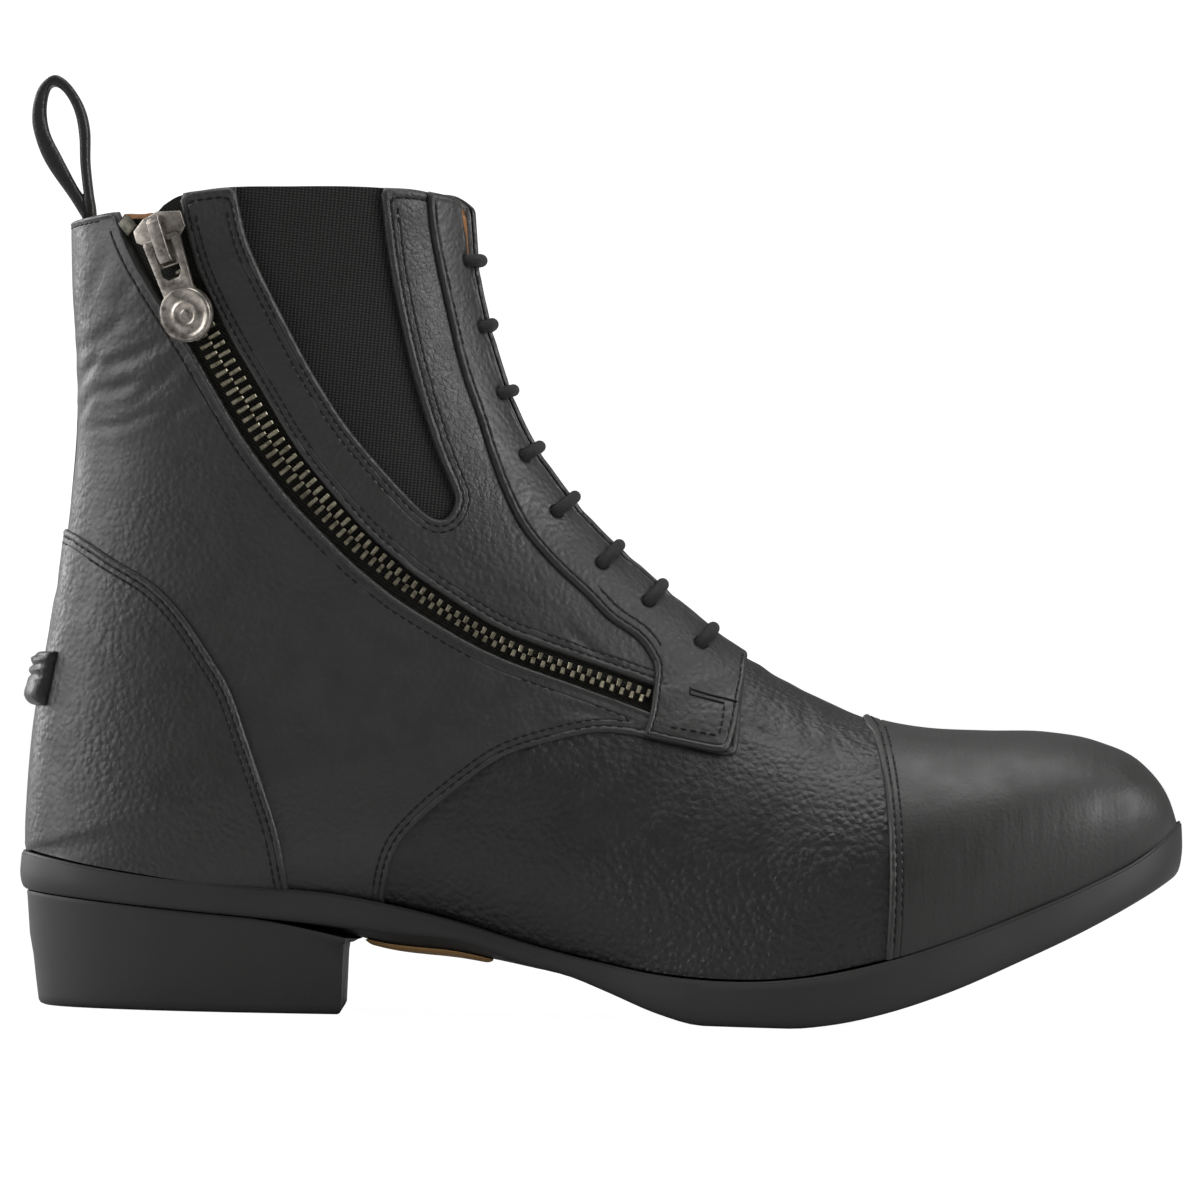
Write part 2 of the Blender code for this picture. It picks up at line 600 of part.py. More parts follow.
def zip_outline(below, above, start=0.0):
    """The zip's opening seen from the side: its lower edge down the boot, its upper edge back up."""
    rows = np.array(ZIP)
    line = rows[:, :2]
    run = np.concatenate([[0], np.cumsum(np.linalg.norm(np.diff(line, axis=0), axis=1))])
    at = np.linspace(start, run[-1], 26)
    table = [(r, *row) for r, row in zip(run, ZIP)]
    x, z = curve(table, at, 1), curve(table, at, 2)
    tangent = np.gradient(np.stack([x, z], 1), axis=0)
    tangent /= np.linalg.norm(tangent, axis=1)[:, None]
    left = np.stack([tangent[:, 1], -tangent[:, 0]], 1)
    centre = np.stack([x, z], 1)
    low = curve(table, at, 3) if below is None else curve(below, at)
    high = curve(table, at, 4) if above is None else curve(above, at)
    return np.concatenate([centre + left * low[:, None], (centre - left * high[:, None])[::-1]]), centre, tangent


def make_upper_pieces():
    s = np.unique(np.concatenate([
        np.linspace(0, HEEL_CORNER, 19),
        HEEL_CORNER + (THROAT_END - HEEL_CORNER) * np.array([0.08, 0.22, 0.45, 0.7]),
        np.linspace(THROAT_END, KNOTS[23], 16),
        KNOTS[23] + (TOE - KNOTS[23]) * np.array([0.22, 0.42, 0.6, 0.76, 0.88, 0.96, 1.0]),
    ]))
    v = np.tile(np.linspace(0, 1, COLUMNS + 1), (len(s), 1))
    points, faces, places = surface(s, v)
    facing = normals(points, faces)

    gusset_cut = prism("cut_gusset", GUSSET)
    opening, _, _ = zip_outline(None, None)
    zip_cut = prism("cut_zip", opening, -90.0, -5.0)

    def floor(x):
        return sole_height(x, 1)

    whole = shell(points, faces, facing, -UPPER_WALL, 0.0, floor)
    upper = solid("upper", *whole, "leather")
    cut(upper, gusset_cut, "DIFFERENCE")
    cut(upper, zip_cut, "DIFFERENCE")

    def part_of(name, slot, low, high, first, last, outline, y0, y1):
        some = [f for f, q in zip(faces, places) if first <= q <= last]
        piece = solid(name, *shell(points, some, facing, low, high), slot)
        return cut(piece, prism("keep_" + name, outline, y0, y1), "INTERSECT")

    seat = [(x, float(sole_height(x, 1)) + 1.3) for x in np.linspace(152, 66, 12)]
    cap = [p for p in TOE_CAP_SEAM if p[1] > 19.5] + seat[::-1] + [(156.0, 60.0), (150.0, 92.0)]
    part_of("toe_cap", "leather", FIT_GAP, FIT_GAP + OVERLAY, THROAT_END, TOE + 1, cap, -90, 90)
    seat = [(x, float(sole_height(x, 1)) + 1.8) for x in np.linspace(-79.0, -156, 9)]
    counter = [p for p in COUNTER_SEAM if p[1] > 34.6] + seat
    part_of("heel_counter", "leather", FIT_GAP, FIT_GAP + OVERLAY, 60.0, KNOTS[19], counter, -90, 90)
    part_of("facing_inner", "leather", FIT_GAP, FIT_GAP + OVERLAY, -1, KNOTS[20], FACING_EDGE, -90, -0.2)
    part_of("facing_outer", "leather", FIT_GAP, FIT_GAP + OVERLAY, -1, KNOTS[20], FACING_EDGE, 0.2, 90)
    part_of("gusset_inner", "elastic", -1.0 - ELASTIC_WALL, -1.0, -1, KNOTS[9], window("g", GUSSET, 0.3), -90, -3)
    part_of("gusset_outer", "elastic", -1.0 - ELASTIC_WALL, -1.0, -1, KNOTS[9], window("g", GUSSET, 0.3), 3, 90)
    part_of("zip_tape", "tape", -1.9, -1.2, -1, KNOTS[19], window("z", opening, 0.3), -90, -3)
    chain, _, _ = zip_outline(CHAIN_HALF, CHAIN_HALF, 24.5)
    part_of("zip_teeth", "teeth_metal", -0.9, 1.2, -1, KNOTS[19], chain[1:-1], -90, -3)
    part_of("spur_rest", "leather", FIT_GAP + OVERLAY + FIT_GAP, 4.9, 60.0, KNOTS[15], SPUR_REST, -SPUR_REST_HALF, SPUR_REST_HALF)


def make_tongue():
    s = np.linspace(3.0, KNOTS[15] - 2.0, 22)
    v = []
    for a in s:
        wide = float(curve(KNOTTED, a, 5))
        v.append(np.linspace(0, np.arcsin(TONGUE_HALF / wide) / np.pi, 6))
    points, faces, _ = surface(s, np.array(v), False)
    facing = normals(points, faces)
    low = -UPPER_WALL - 0.5 - TONGUE_WALL
    solid("tongue", *shell(points, faces, facing, low, low + TONGUE_WALL), "lining")


def make_laces():
    for number, (x, z) in enumerate(LACE_HOLES, 1):
        path = []
        for side in (-1, 1):
            hole, outward = spot(x, z, side)
            high = FIT_GAP + OVERLAY + FIT_GAP + LACE_RADIUS
            path.append((hole + outward * high, outward))
        (a, up_a), (b, up_b) = path
        middle = skin(*front_at(x, z), -1, False)
        share = np.linspace(0, 1, 13)
        out = []
        for t in share:
            p = a + (b - a) * t
            ahead = (middle - (a + b) / 2) * np.array([1, 0, 1])
            ahead = ahead + ahead / max(np.linalg.norm(ahead), 1e-6) * LACE_LIFT
            out.append(p + ahead * (1 - abs(2 * t - 1) ** 3.6))
        solid(f"lace_{number}", *tube(out, LACE_RADIUS, 8), "lace_cord")


def front_at(x, z):
    """The place on the front ridge nearest to a side-view point."""
    s = np.linspace(0, THROAT_END, 400)
    ridge = skin(s, 0.0, -1, False)
    return s[int(np.argmin((ridge[:, 0] - x) ** 2 + (ridge[:, 2] - z) ** 2))], 0.0


def make_loop():
    rows = np.array(PULL_LOOP)
    n = len(rows)
    outer, inner = rows[:, :2], rows[:, 2:]
    points = []
    for y in (-5.0, 5.0):
        points += [(x, y, z) for x, z in outer]
        points += [(x, y, z) for x, z in inner]
    faces = []
    for k in range(n):
        j = (k + 1) % n
        faces.append([k, j, n + j, n + k])
        faces.append([3 * n + k, 3 * n + j, 2 * n + j, 2 * n + k])
        faces.append([2 * n + k, 2 * n + j, j, k])
        faces.append([n + k, n + j, 3 * n + j, 3 * n + k])
    solid("pull_loop", points, faces, "leather")


def zip_frame():
    """The slider's place on the boot: the pin's centre and the directions down the zip, across it and out of it."""
    pin, out = spot(*SLIDER_PIN, -1)
    disc, _ = spot(*PULLER_DISC, -1)
    down = disc - pin
    down -= out * np.dot(down, out)
    down /= np.linalg.norm(down)
    return pin, down, np.cross(out, down), out, disc


def slab(outline, low, high):
    n = len(outline)
    points = [(x, y, z) for z in (low, high) for x, y in outline]
    faces = [list(range(n))[::-1], list(range(n, 2 * n))]
    faces += [[k, (k + 1) % n, (k + 1) % n + n, k + n] for k in range(n)]
    return points, faces


def make_slider():
    pin, down, across, out, disc = zip_frame()
    matrix = Matrix((
        (*down,),
        (*across,),
        (*out,),
    )).transposed().to_4x4()
    matrix.translation = Vector(pin * MM)

    body = ((-11.6, -4.4), (-9.6, -6.5), (-2.0, -5.0), (1.6, -4.2), (2.2, 0.0), (1.6, 4.2), (-2.0, 5.0), (-9.6, 6.5),
            (-11.6, 4.4), (-10.4, 0.0))
    points, faces = slab(body, 1.5, 1.9)
    plate = solid("zip_slider", points, faces, "slider_metal")
    arch = ((-9.6, 1.7), (-9.3, 4.6), (-7.6, 5.6), (2.4, 5.6), (4.4, 4.6), (4.9, 2.5), (3.7, 2.5), (3.3, 3.8), (2.0, 4.4),
            (-6.0, 4.4), (-7.0, 3.7), (-7.2, 1.7))
    n = len(arch)
    points = [(x, y, z) for y in (-1.7, 1.7) for x, z in arch]
    faces = [list(range(n)), list(range(2 * n - 1, n - 1, -1))]
    faces += [[(k + 1) % n, k, k + n, (k + 1) % n + n] for k in range(n)]
    bridge = solid("join_bridge", points, faces)
    cut(plate, bridge, "UNION")
    for obj in (plate, bridge):
        obj.data.transform(matrix)

    half = PULLER_ARM_WIDTH / 2
    reach_down = float(np.linalg.norm(disc - pin))
    outline = [(-0.75, -half + 0.6), (-0.75, half - 0.6), (0.2, half), (11.0, half - 0.7)]
    first = math.asin((half - 0.9) / PULLER_DISC_RADIUS)
    for turn in np.linspace(math.pi - first, first - math.pi, 25):
        outline.append((reach_down + PULLER_DISC_RADIUS * math.cos(turn), PULLER_DISC_RADIUS * math.sin(turn)))
    outline += [(11.0, 0.7 - half), (0.2, -half)]
    points, faces = slab(outline, -0.75, 0.75)
    puller = solid("zip_puller", points, faces, "slider_metal")
    slot = [(0.75, -2.7), (9.0, -2.7), (10.4, -1.4), (10.4, 1.4), (9.0, 2.7), (0.75, 2.7)]
    hole = solid("cut_puller_slot", *slab(slot, -3.0, 3.0))
    cut(puller, hole, "DIFFERENCE")
    direction = disc + out * 2.3 - (pin + out * PIN_HEIGHT)
    direction /= np.linalg.norm(direction)
    lift = np.cross(direction, across)
    turned = Matrix(((*direction,), (*across,), (*lift,))).transposed().to_4x4()
    turned.translation = Vector((pin + out * PIN_HEIGHT) * MM)
    puller.matrix_world = turned
    hole.matrix_world = turned

    place, normal = spot(*ZIP_STOP, -1)
    points, faces = slab(((-2.2, -1.7), (2.2, -1.7), (2.2, 1.7), (-2.2, 1.7)), -0.9, 0.9)
    stop = solid("zip_stop", points, faces, "slider_metal")
    side_way = np.cross(normal, down)
    side_way /= np.linalg.norm(side_way)
    frame = Matrix(((*np.cross(side_way, normal),), (*side_way,), (*normal,))).transposed().to_4x4()
    frame.translation = Vector((place + normal * 0.4) * MM)
    stop.data.transform(frame)


for leftover in list(bpy.data.objects):
    bpy.data.objects.remove(leftover, do_unlink=True)
make_outsole()
make_heel()
make_waist_panel()
make_insole()
make_upper_pieces()
make_tongue()
make_laces()
make_loop()
make_slider()
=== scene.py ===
"""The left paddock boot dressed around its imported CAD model. Shape tables are in millimetres, meshes in metres."""
import math

import bmesh
import bpy
import numpy as np
from mathutils import Matrix, Vector


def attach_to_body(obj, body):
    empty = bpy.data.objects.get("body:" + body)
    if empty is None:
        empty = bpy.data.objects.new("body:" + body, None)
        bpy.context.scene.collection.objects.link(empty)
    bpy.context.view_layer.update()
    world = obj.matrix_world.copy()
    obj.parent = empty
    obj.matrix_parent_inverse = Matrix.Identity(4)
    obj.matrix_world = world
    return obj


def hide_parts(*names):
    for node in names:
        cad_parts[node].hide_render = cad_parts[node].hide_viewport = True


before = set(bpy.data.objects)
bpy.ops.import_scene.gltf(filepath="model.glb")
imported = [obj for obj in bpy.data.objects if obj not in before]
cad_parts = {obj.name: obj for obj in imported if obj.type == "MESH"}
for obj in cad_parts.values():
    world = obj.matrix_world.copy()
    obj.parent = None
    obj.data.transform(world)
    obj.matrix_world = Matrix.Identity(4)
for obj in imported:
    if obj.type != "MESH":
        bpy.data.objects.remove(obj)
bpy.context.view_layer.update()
MM = 0.001

# ---------------------------------------------------------------- Studio
# A plain white table under broad soft lights, as for a catalogue picture. The camera looks
# across the boot from its inner side through a long lens, level with the middle of the shaft
# and rolled a little, because the boot in the picture stands tipped by that much.
CAMERA_PLACE = (-0.0016, -2.3, 0.1067)
CAMERA_ROLL = math.radians(1.3)
FRAME_WIDTH = 0.30804
SENSOR_WIDTH = 36.0
camera_lens = bpy.data.cameras.new("camera")
camera_lens.sensor_width = SENSOR_WIDTH
camera_lens.lens = SENSOR_WIDTH * -CAMERA_PLACE[1] / FRAME_WIDTH
camera_lens.clip_end = 60.0
camera = bpy.data.objects.new("camera", camera_lens)
bpy.context.scene.collection.objects.link(camera)
bpy.context.scene.camera = camera
roll_c, roll_s = math.cos(CAMERA_ROLL), math.sin(CAMERA_ROLL)
camera.matrix_world = Matrix((
    (roll_c, -roll_s, 0.0, CAMERA_PLACE[0]),
    (0.0, 0.0, -1.0, CAMERA_PLACE[1]),
    (roll_s, roll_c, 0.0, CAMERA_PLACE[2]),
    (0.0, 0.0, 0.0, 1.0),
))


class Finish:
    """A material in the making: constants go straight on the shader, and what varies comes from nodes."""

    def __init__(self, name, **constants):
        self.material = bpy.data.materials.new(name)
        self.material.use_nodes = True
        self.tree = self.material.node_tree
        self.shader = self.tree.nodes["Principled BSDF"]
        self.coordinates = None
        for socket, value in constants.items():
            self.put(self.shader, socket.replace("_", " "), value)

    def put(self, node, socket, value):
        if isinstance(value, bpy.types.NodeSocket):
            self.tree.links.new(value, node.inputs[socket])
        else:
            node.inputs[socket].default_value = value

    def node(self, kind, inputs=None, **settings):
        made = self.tree.nodes.new("ShaderNode" + kind)
        for key, value in settings.items():
            setattr(made, key, value)
        for socket, value in (inputs or {}).items():
            self.put(made, socket, value)
        return made

    def place(self):
        """Object coordinates, which stay with the piece."""
        if self.coordinates is None:
            self.coordinates = self.node("TexCoord")
        return self.coordinates.outputs["Object"]

    def noise(self, scale, detail, rough=0.5, at=None):
        """Cloudy noise from 0 to 1."""
        inputs = {"Vector": self.place() if at is None else at, "Scale": scale, "Detail": detail, "Roughness": rough}
        return self.node("TexNoise", inputs).outputs["Fac"]

    def waves(self, at, scale, distortion, direction="X", **more):
        """Even bands from 0 to 1, as in a weave."""
        inputs = {"Vector": at, "Scale": scale, "Distortion": distortion, **more}
        return self.node("TexWave", inputs, bands_direction=direction).outputs["Fac"]

    def turned(self, vector, *degrees):
        """Coordinates turned about x, y and z."""
        angles = tuple(math.radians(angle) for angle in degrees)
        return self.node("Mapping", {"Vector": vector, "Rotation": angles}).outputs["Vector"]

    def math(self, operation, *values):
        return self.node("Math", dict(enumerate(values)), operation=operation).outputs[0]

    def spread(self, value, low, high, start=0.0, end=1.0):
        """A value taken from between start and end to between low and high."""
        inputs = {"Value": value, "From Min": start, "From Max": end, "To Min": low, "To Max": high}
        return self.node("MapRange", inputs).outputs["Result"]

    def colour(self, share, dark, light):
        tint = self.node("Mix", {"Factor": share, 6: (*dark, 1.0), 7: (*light, 1.0)}, data_type="RGBA")
        self.put(self.shader, "Base Color", tint.outputs[2])

    def gloss(self, share, low, high, start=0.0, end=1.0):
        """Roughness from low to high."""
        self.put(self.shader, "Roughness", self.spread(share, low, high, start, end))

    def bump(self, height, strength, distance):
        relief = self.node("Bump", {"Height": height, "Strength": strength, "Distance": distance})
        self.put(self.shader, "Normal", relief.outputs["Normal"])


WHITE = (1.0, 1.0, 1.0, 1.0)
SKY_SEEN = 1.1
SKY_LIGHT = 0.2
TABLE_SIZE = 24.0
TABLE_DROP = 0.0002
floor = Finish("table_white", Base_Color=(0.5, 0.5, 0.5, 1.0), Roughness=0.9, Specular_IOR_Level=0.1)
glow = floor.node("Emission", {"Color": WHITE, "Strength": SKY_SEEN})
share = floor.math("MULTIPLY", floor.node("LightPath").outputs["Is Camera Ray"], 0.9)
blend = floor.node("MixShader", {0: share, 1: floor.shader.outputs[0], 2: glow.outputs[0]})
floor.put(floor.tree.nodes["Material Output"], "Surface", blend.outputs[0])
bpy.ops.object.select_all(action="DESELECT")
bpy.ops.mesh.primitive_plane_add(size=TABLE_SIZE, location=(0.0, 0.0, -TABLE_DROP))
table = bpy.context.object
table.name = "table"
table.data.materials.append(floor.material)

world = bpy.data.worlds.new("studio")
bpy.context.scene.world = world
world.use_nodes = True
backdrop = world.node_tree.nodes["Background"]
backdrop.inputs["Color"].default_value = WHITE
path = world.node_tree.nodes.new("ShaderNodeLightPath")
level = world.node_tree.nodes.new("ShaderNodeMapRange")
world.node_tree.links.new(path.outputs["Is Camera Ray"], level.inputs["Value"])
level.inputs["To Min"].default_value = SKY_LIGHT
level.inputs["To Max"].default_value = SKY_SEEN
world.node_tree.links.new(level.outputs["Result"], backdrop.inputs["Strength"])
bpy.context.scene.view_settings.view_transform = "Standard"

SOFTBOXES = (
    # name, place, what it faces, width, height, power
    ("overhead", (0.1, 0.1, 1.5), (0.02, 0.0, 0.1), 1.4, 1.0, 14.5),
    ("toe_side", (1.5, -0.45, 0.7), (0.05, 0.0, 0.1), 0.9, 1.0, 20.5),
    ("heel_side", (-1.5, -0.25, 0.6), (-0.05, 0.0, 0.1), 0.9, 1.2, 17.0),
    ("heel_rim", (-1.2, 0.9, 0.7), (-0.05, 0.0, 0.1), 0.6, 1.2, 18.0),
)
for name, place, target, width, height, power in SOFTBOXES:
    lamp = bpy.data.lights.new(name, "AREA")
    lamp.shape = "RECTANGLE"
    lamp.size = width
    lamp.size_y = height
    lamp.energy = power
    box = bpy.data.objects.new(name, lamp)
    bpy.context.scene.collection.objects.link(box)
    box.location = place
    box.rotation_euler = (Vector(target) - Vector(place)).to_track_quat("-Z", "Y").to_euler()

# ---------------------------------------------------------------- Outsole
# The outsole is one black rubber moulding: a flat tread under the ball, a waist that arches on
# the inner side, a high toe spring and a smooth side wall. The upper is cemented into its tray.
OUTLINE = (
    # x, y
    (-148.8, 0.0), (-145.4, -14.0), (-136.0, -24.6), (-118.0, -32.0), (-98.0, -34.4),
    (-75.0, -33.0), (-50.0, -29.8), (-25.0, -29.6), (0.0, -36.0), (25.0, -45.2),
    (45.0, -49.8), (65.0, -50.6), (85.0, -47.8), (105.0, -41.8), (122.0, -35.6),
    (136.0, -27.4), (145.2, -17.6), (148.9, -5.6), (146.4, 6.4), (138.8, 18.4),
    (127.0, 29.4), (110.0, 39.8), (90.0, 47.4), (68.0, 51.6), (45.0, 53.6),
    (20.0, 52.2), (-5.0, 47.6), (-30.0, 41.4), (-55.0, 37.2), (-80.0, 35.8),
    (-100.0, 35.4), (-120.0, 32.0), (-136.4, 24.6), (-145.6, 14.0),
)
SOLE_HEIGHTS = (
    # x, top edge, underside at the edge, underside in the middle
    (-149.0, 39.9, 29.6, 29.6),
    (-130.0, 36.6, 27.8, 27.8),
    (-111.0, 34.1, 26.2, 26.2),
    (-88.0, 32.6, 24.4, 24.4),
    (-65.0, 30.8, 22.2, 20.0),
    (-54.0, 28.8, 20.8, 17.2),
    (-34.0, 24.2, 18.6, 15.0),
    (-18.0, 19.6, 13.6, 12.4),
    (-6.9, 16.9, 11.1, 10.6),
    (2.4, 15.0, 7.6, 7.6),
    (15.5, 12.7, 2.5, 2.5),
    (27.0, 11.8, 0.0, 0.0),
    (48.0, 12.6, 0.0, 0.0),
    (58.0, 14.2, 1.0, 1.0),
    (72.5, 17.8, 4.3, 4.3),
    (88.4, 23.1, 9.8, 9.8),
    (106.2, 30.2, 17.7, 17.7),
    (122.7, 37.4, 25.6, 25.6),
    (139.5, 46.5, 34.8, 34.8),
    (149.0, 54.8, 40.6, 40.6),
)
WELT = 2.3  # the upper stands this far inside the sole's outline
FIT_GAP = 0.3
ACROSS = 16  # strips across the underside
SOLE_WALL = (
    # inset from the outline, share of the side wall's height
    (2.6, 1.0), (1.15, 1.0), (0.85, 0.99), (0.65, 0.965), (0.6, 0.93), (0.35, 0.91), (0.22, 0.8),
    (0.08, 0.62), (0.0, 0.46), (0.06, 0.34), (0.3, 0.2), (0.55, 0.12), (0.95, 0.05), (1.5, 0.012),
    (2.4, 0.0),
)


def curve(table, q, column=1, flat=False):
    """A smooth curve through one column of a table, over its first column. With flat, level stretches stay level."""
    xs = np.array([row[0] for row in table], float)
    ys = np.array([row[column] for row in table], float)
    h = np.diff(xs)
    d = np.diff(ys) / h
    m = np.empty(len(xs))
    m[0] = d[0]
    m[-1] = d[-1]
    m[1:-1] = (h[1:] * d[:-1] + h[:-1] * d[1:]) / (h[1:] + h[:-1])
    if flat:
        m[1:-1][d[:-1] * d[1:] <= 0] = 0
    q = np.clip(np.asarray(q, float), xs[0], xs[-1])
    k = np.clip(np.searchsorted(xs, q, side="right") - 1, 0, len(h) - 1)
    t = (q - xs[k]) / h[k]
    rise = (1 + 2 * t) * (1 - t) ** 2 * ys[k] + t * (1 - t) ** 2 * h[k] * m[k]
    return rise + t * t * (3 - 2 * t) * ys[k + 1] + t * t * (t - 1) * h[k] * m[k + 1]


def bend(t, start, leaving, end, arriving):
    """A curved stretch between two points, from its slopes at both."""
    first = (1 + 2 * t) * (1 - t) ** 2 * start + t * (1 - t) ** 2 * leaving
    return first + t * t * (3 - 2 * t) * end + t * t * (t - 1) * arriving


def closed_curve(points, per=12):
    """A dense closed curve through points."""
    p = np.array(points, float)
    t = np.linspace(0, 1, per, endpoint=False)[:, None]
    out = []
    for i in range(len(p)):
        a, b, c, d = p[i - 1], p[i], p[(i + 1) % len(p)], p[(i + 2) % len(p)]
        la, lb, lc = (max(np.linalg.norm(v), 1e-9) ** 0.5 for v in (b - a, c - b, d - c))
        m1 = lb * ((b - a) / la - (c - a) / (la + lb) + (c - b) / lb)
        m2 = lb * ((c - b) / lb - (d - b) / (lb + lc) + (d - c) / lc)
        out.append(bend(t, b, m1, c, m2))
    return np.concatenate(out)


def inset(ring, by):
    """A closed curve moved to its left."""
    tangent = np.roll(ring, -1, 0) - np.roll(ring, 1, 0)
    tangent /= np.linalg.norm(tangent, axis=1)[:, None]
    return ring + by * np.stack([-tangent[:, 1], tangent[:, 0]], 1)


def sides(ring):
    """A plan ring as its inner and its outer edge, each from the heel to the toe."""
    ring = np.roll(ring, -int(np.argmin(ring[:, 0])), 0)
    toe = int(np.argmax(ring[:, 0]))
    return ring[: toe + 1], np.concatenate([ring[toe:], ring[:1]])[::-1]


def run_of(line):
    """The length along a line at each of its points."""
    return np.concatenate([[0], np.cumsum(np.linalg.norm(np.diff(line, axis=0), axis=1))])


def at_run(q, run, rows, columns):
    """The first columns of rows, read at a length."""
    return np.array([np.interp(q, run, rows[:, k]) for k in range(columns)])


def unit(vector):
    return vector / np.linalg.norm(vector)


def along(line, share):
    """Points at shares of a line's length."""
    line = np.asarray(line, float)
    run = run_of(line)
    return np.stack([np.interp(np.asarray(share) * run[-1], run, line[:, k]) for k in range(line.shape[1])], 1)


EDGE = closed_curve(OUTLINE)
FEATHER = sides(inset(EDGE, WELT))


def sole_height(x, column):
    return curve(SOLE_HEIGHTS, x, column, flat=column > 1)


def bands(rings, count):
    """Faces between closed rings of count points, one after another."""
    faces = []
    for r in range(rings - 1):
        for k in range(count):
            a, b = r * count + k, r * count + (k + 1) % count
            faces.append([a, b, b + count, a + count])
    return faces


def stack(rings, middle=None):
    """Closed rings joined from top to bottom. Each holds an inner edge to the toe, then the outer edge back."""
    n = len(rings[0])
    half = n // 2
    points = list(np.concatenate(rings))
    faces = bands(len(rings), n)
    for k in range(half - 1):
        faces.append([n - 1 - k, n - 2 - k, k + 1, k])
    last = (len(rings) - 1) * n
    lines = [[last, last + n - 1]]
    for k in range(1, half - 1):
        a, b = points[last + k], points[last + n - 1 - k]
        line = [last + k]
        for j in range(1, ACROSS):
            share = j / ACROSS
            p = a + (b - a) * share
            if middle is not None:
                p[2] += (middle(p[0]) - p[2]) * (1 - (2 * share - 1) ** 2)
            line.append(len(points))
            points.append(p)
        line.append(last + n - 1 - k)
        lines.append(line)
    lines.append([last + half - 1, last + half])
    for a, b in zip(lines, lines[1:]):
        if len(a) == len(b):
            for j in range(len(a) - 1):
                faces.append([a[j], a[j + 1], b[j + 1], b[j]])
        else:
            faces.append(a + b[::-1])
    return np.array(points), faces


def plan_ring(by, count):
    """An inset of the sole's outline as matching points: the inner edge to the toe, the outer edge back."""
    inner, outer = sides(inset(EDGE, by))
    turn = 0.5 - 0.5 * np.cos(np.pi * np.linspace(0.035, 0.965, count))
    return np.concatenate([along(inner, turn), along(outer, turn)[::-1]])


def attach(name, mesh, material, replaces, body, crease):
    """A finished mesh made a piece of the boot: smooth but for its sharp edges, riding on a body."""
    mesh.polygons.foreach_set("use_smooth", [True] * len(mesh.polygons))
    mesh.set_sharp_from_angle(angle=math.radians(crease))
    mesh.materials.append(material)
    obj = bpy.data.objects.new(name, mesh)
    bpy.context.scene.collection.objects.link(obj)
    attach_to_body(obj, body)
    if replaces:
        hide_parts(*replaces)


def piece(name, points, faces, material, slot, replaces=(), body="boot", crease=42.0):
    """A closed mesh from points in mm, with its faces outwards."""
    mesh = bpy.data.meshes.new(name)
    mesh.from_pydata((np.asarray(points, float) * MM).tolist(), [], [list(f) for f in faces])
    work = bmesh.new()
    work.from_mesh(mesh)
    bmesh.ops.recalc_face_normals(work, faces=work.faces)
    if work.calc_volume(signed=True) < 0:
        bmesh.ops.reverse_faces(work, faces=work.faces)
    work.to_mesh(mesh)
    work.free()
    attach(name, mesh, material, replaces, body, crease)


moulded = Finish("moulded_rubber", Specular_IOR_Level=0.42)
cloud = moulded.noise(38.0, 3.0)
moulded.colour(cloud, (0.0155, 0.0155, 0.015), (0.025, 0.025, 0.0243))
moulded.gloss(cloud, 0.5, 0.64)
moulded.bump(moulded.noise(1900.0, 3.0), 0.35, 0.00008)
rubber = moulded.material
rings = []
for by, share in SOLE_WALL:
    ring = plan_ring(by, 150)
    top = sole_height(ring[:, 0], 1) - FIT_GAP
    low = sole_height(ring[:, 0], 2)
    rings.append(np.column_stack([ring, low + (top - low) * share]))
piece("outsole_rubber", *stack(rings, lambda x: float(sole_height(x, 3))), rubber, "rubber", ["outsole"])

# ---------------------------------------------------------------- Heel
# The heel block is moulded with the sole and drawn in a little towards the floor. Its breast
# swells forward in the middle where it runs into the waist.
HEEL_BREAST = -65.0
HEEL_WALL = (
    # inset from the outline, height, breast ahead of its foot, swelling of the breast; the heights 99 and 98
    # stand for the sole's underside and for 1.2 mm under it
    (2.0, 99.0, 0.9, 3.4), (1.85, 99.0, 0.8, 2.6), (2.0, 98.0, 0.7, 1.9), (2.85, 18.0, 0.4, 0.9),
    (3.9, 12.6, 0.2, 0.3), (4.7, 6.5, 0.1, 0.0), (5.3, 2.4, 0.0, 0.0), (5.5, 1.1, 0.0, 0.0),
    (6.0, 0.35, -0.3, 0.0), (6.9, 0.0, -0.9, 0.0),
)
rings = []
turn = np.sin(0.5 * np.pi * np.linspace(0.0, 1.0, 70))
for by, height, ahead, swell in HEEL_WALL:
    inner, outer = sides(inset(EDGE, by))
    breast = HEEL_BREAST + ahead
    ring = []
    for line in (inner, outer):
        back = line[line[:, 0] < breast]
        end = np.array([[breast, np.interp(breast, line[:, 0], line[:, 1])]])
        ring.append(along(np.concatenate([back, end]), 0.02 + 0.98 * (1 - np.cos(0.5 * np.pi * turn))))
    front = ring[0][-1] + (ring[1][-1] - ring[0][-1]) * np.linspace(0, 1, 26)[1:-1, None]
    front[:, 0] += swell * (1 - (2 * np.linspace(0, 1, 26)[1:-1] - 1) ** 2) ** 1.5
    half = len(front) // 2
    ring = np.concatenate([ring[0], front[:half], front[half:], ring[1][::-1]])
    z = np.full(len(ring), height)
    if height > 90:
        z = np.minimum(sole_height(ring[:, 0], 2), sole_height(ring[:, 0], 3)) - FIT_GAP
        z = z - {99.0: 0.0, 98.0: 1.2}[height] - (0.5 if by < 1.9 else 0.0)
    rings.append(np.column_stack([ring, z]))
piece("heel_rubber", *stack(rings), rubber, "rubber", ["heel"], crease=50.0)

# ---------------------------------------------------------------- Waist panel
# A thin tan leather cover glued into the waist of the sole, just ahead of the heel. Its edge is
# pared down, so it lies flat in the arch.
WAIST_SPAN = (-59.5, -27.0)
WAIST_HALF = 15.0
WAIST_MIDDLE = (-43.0, 1.2)


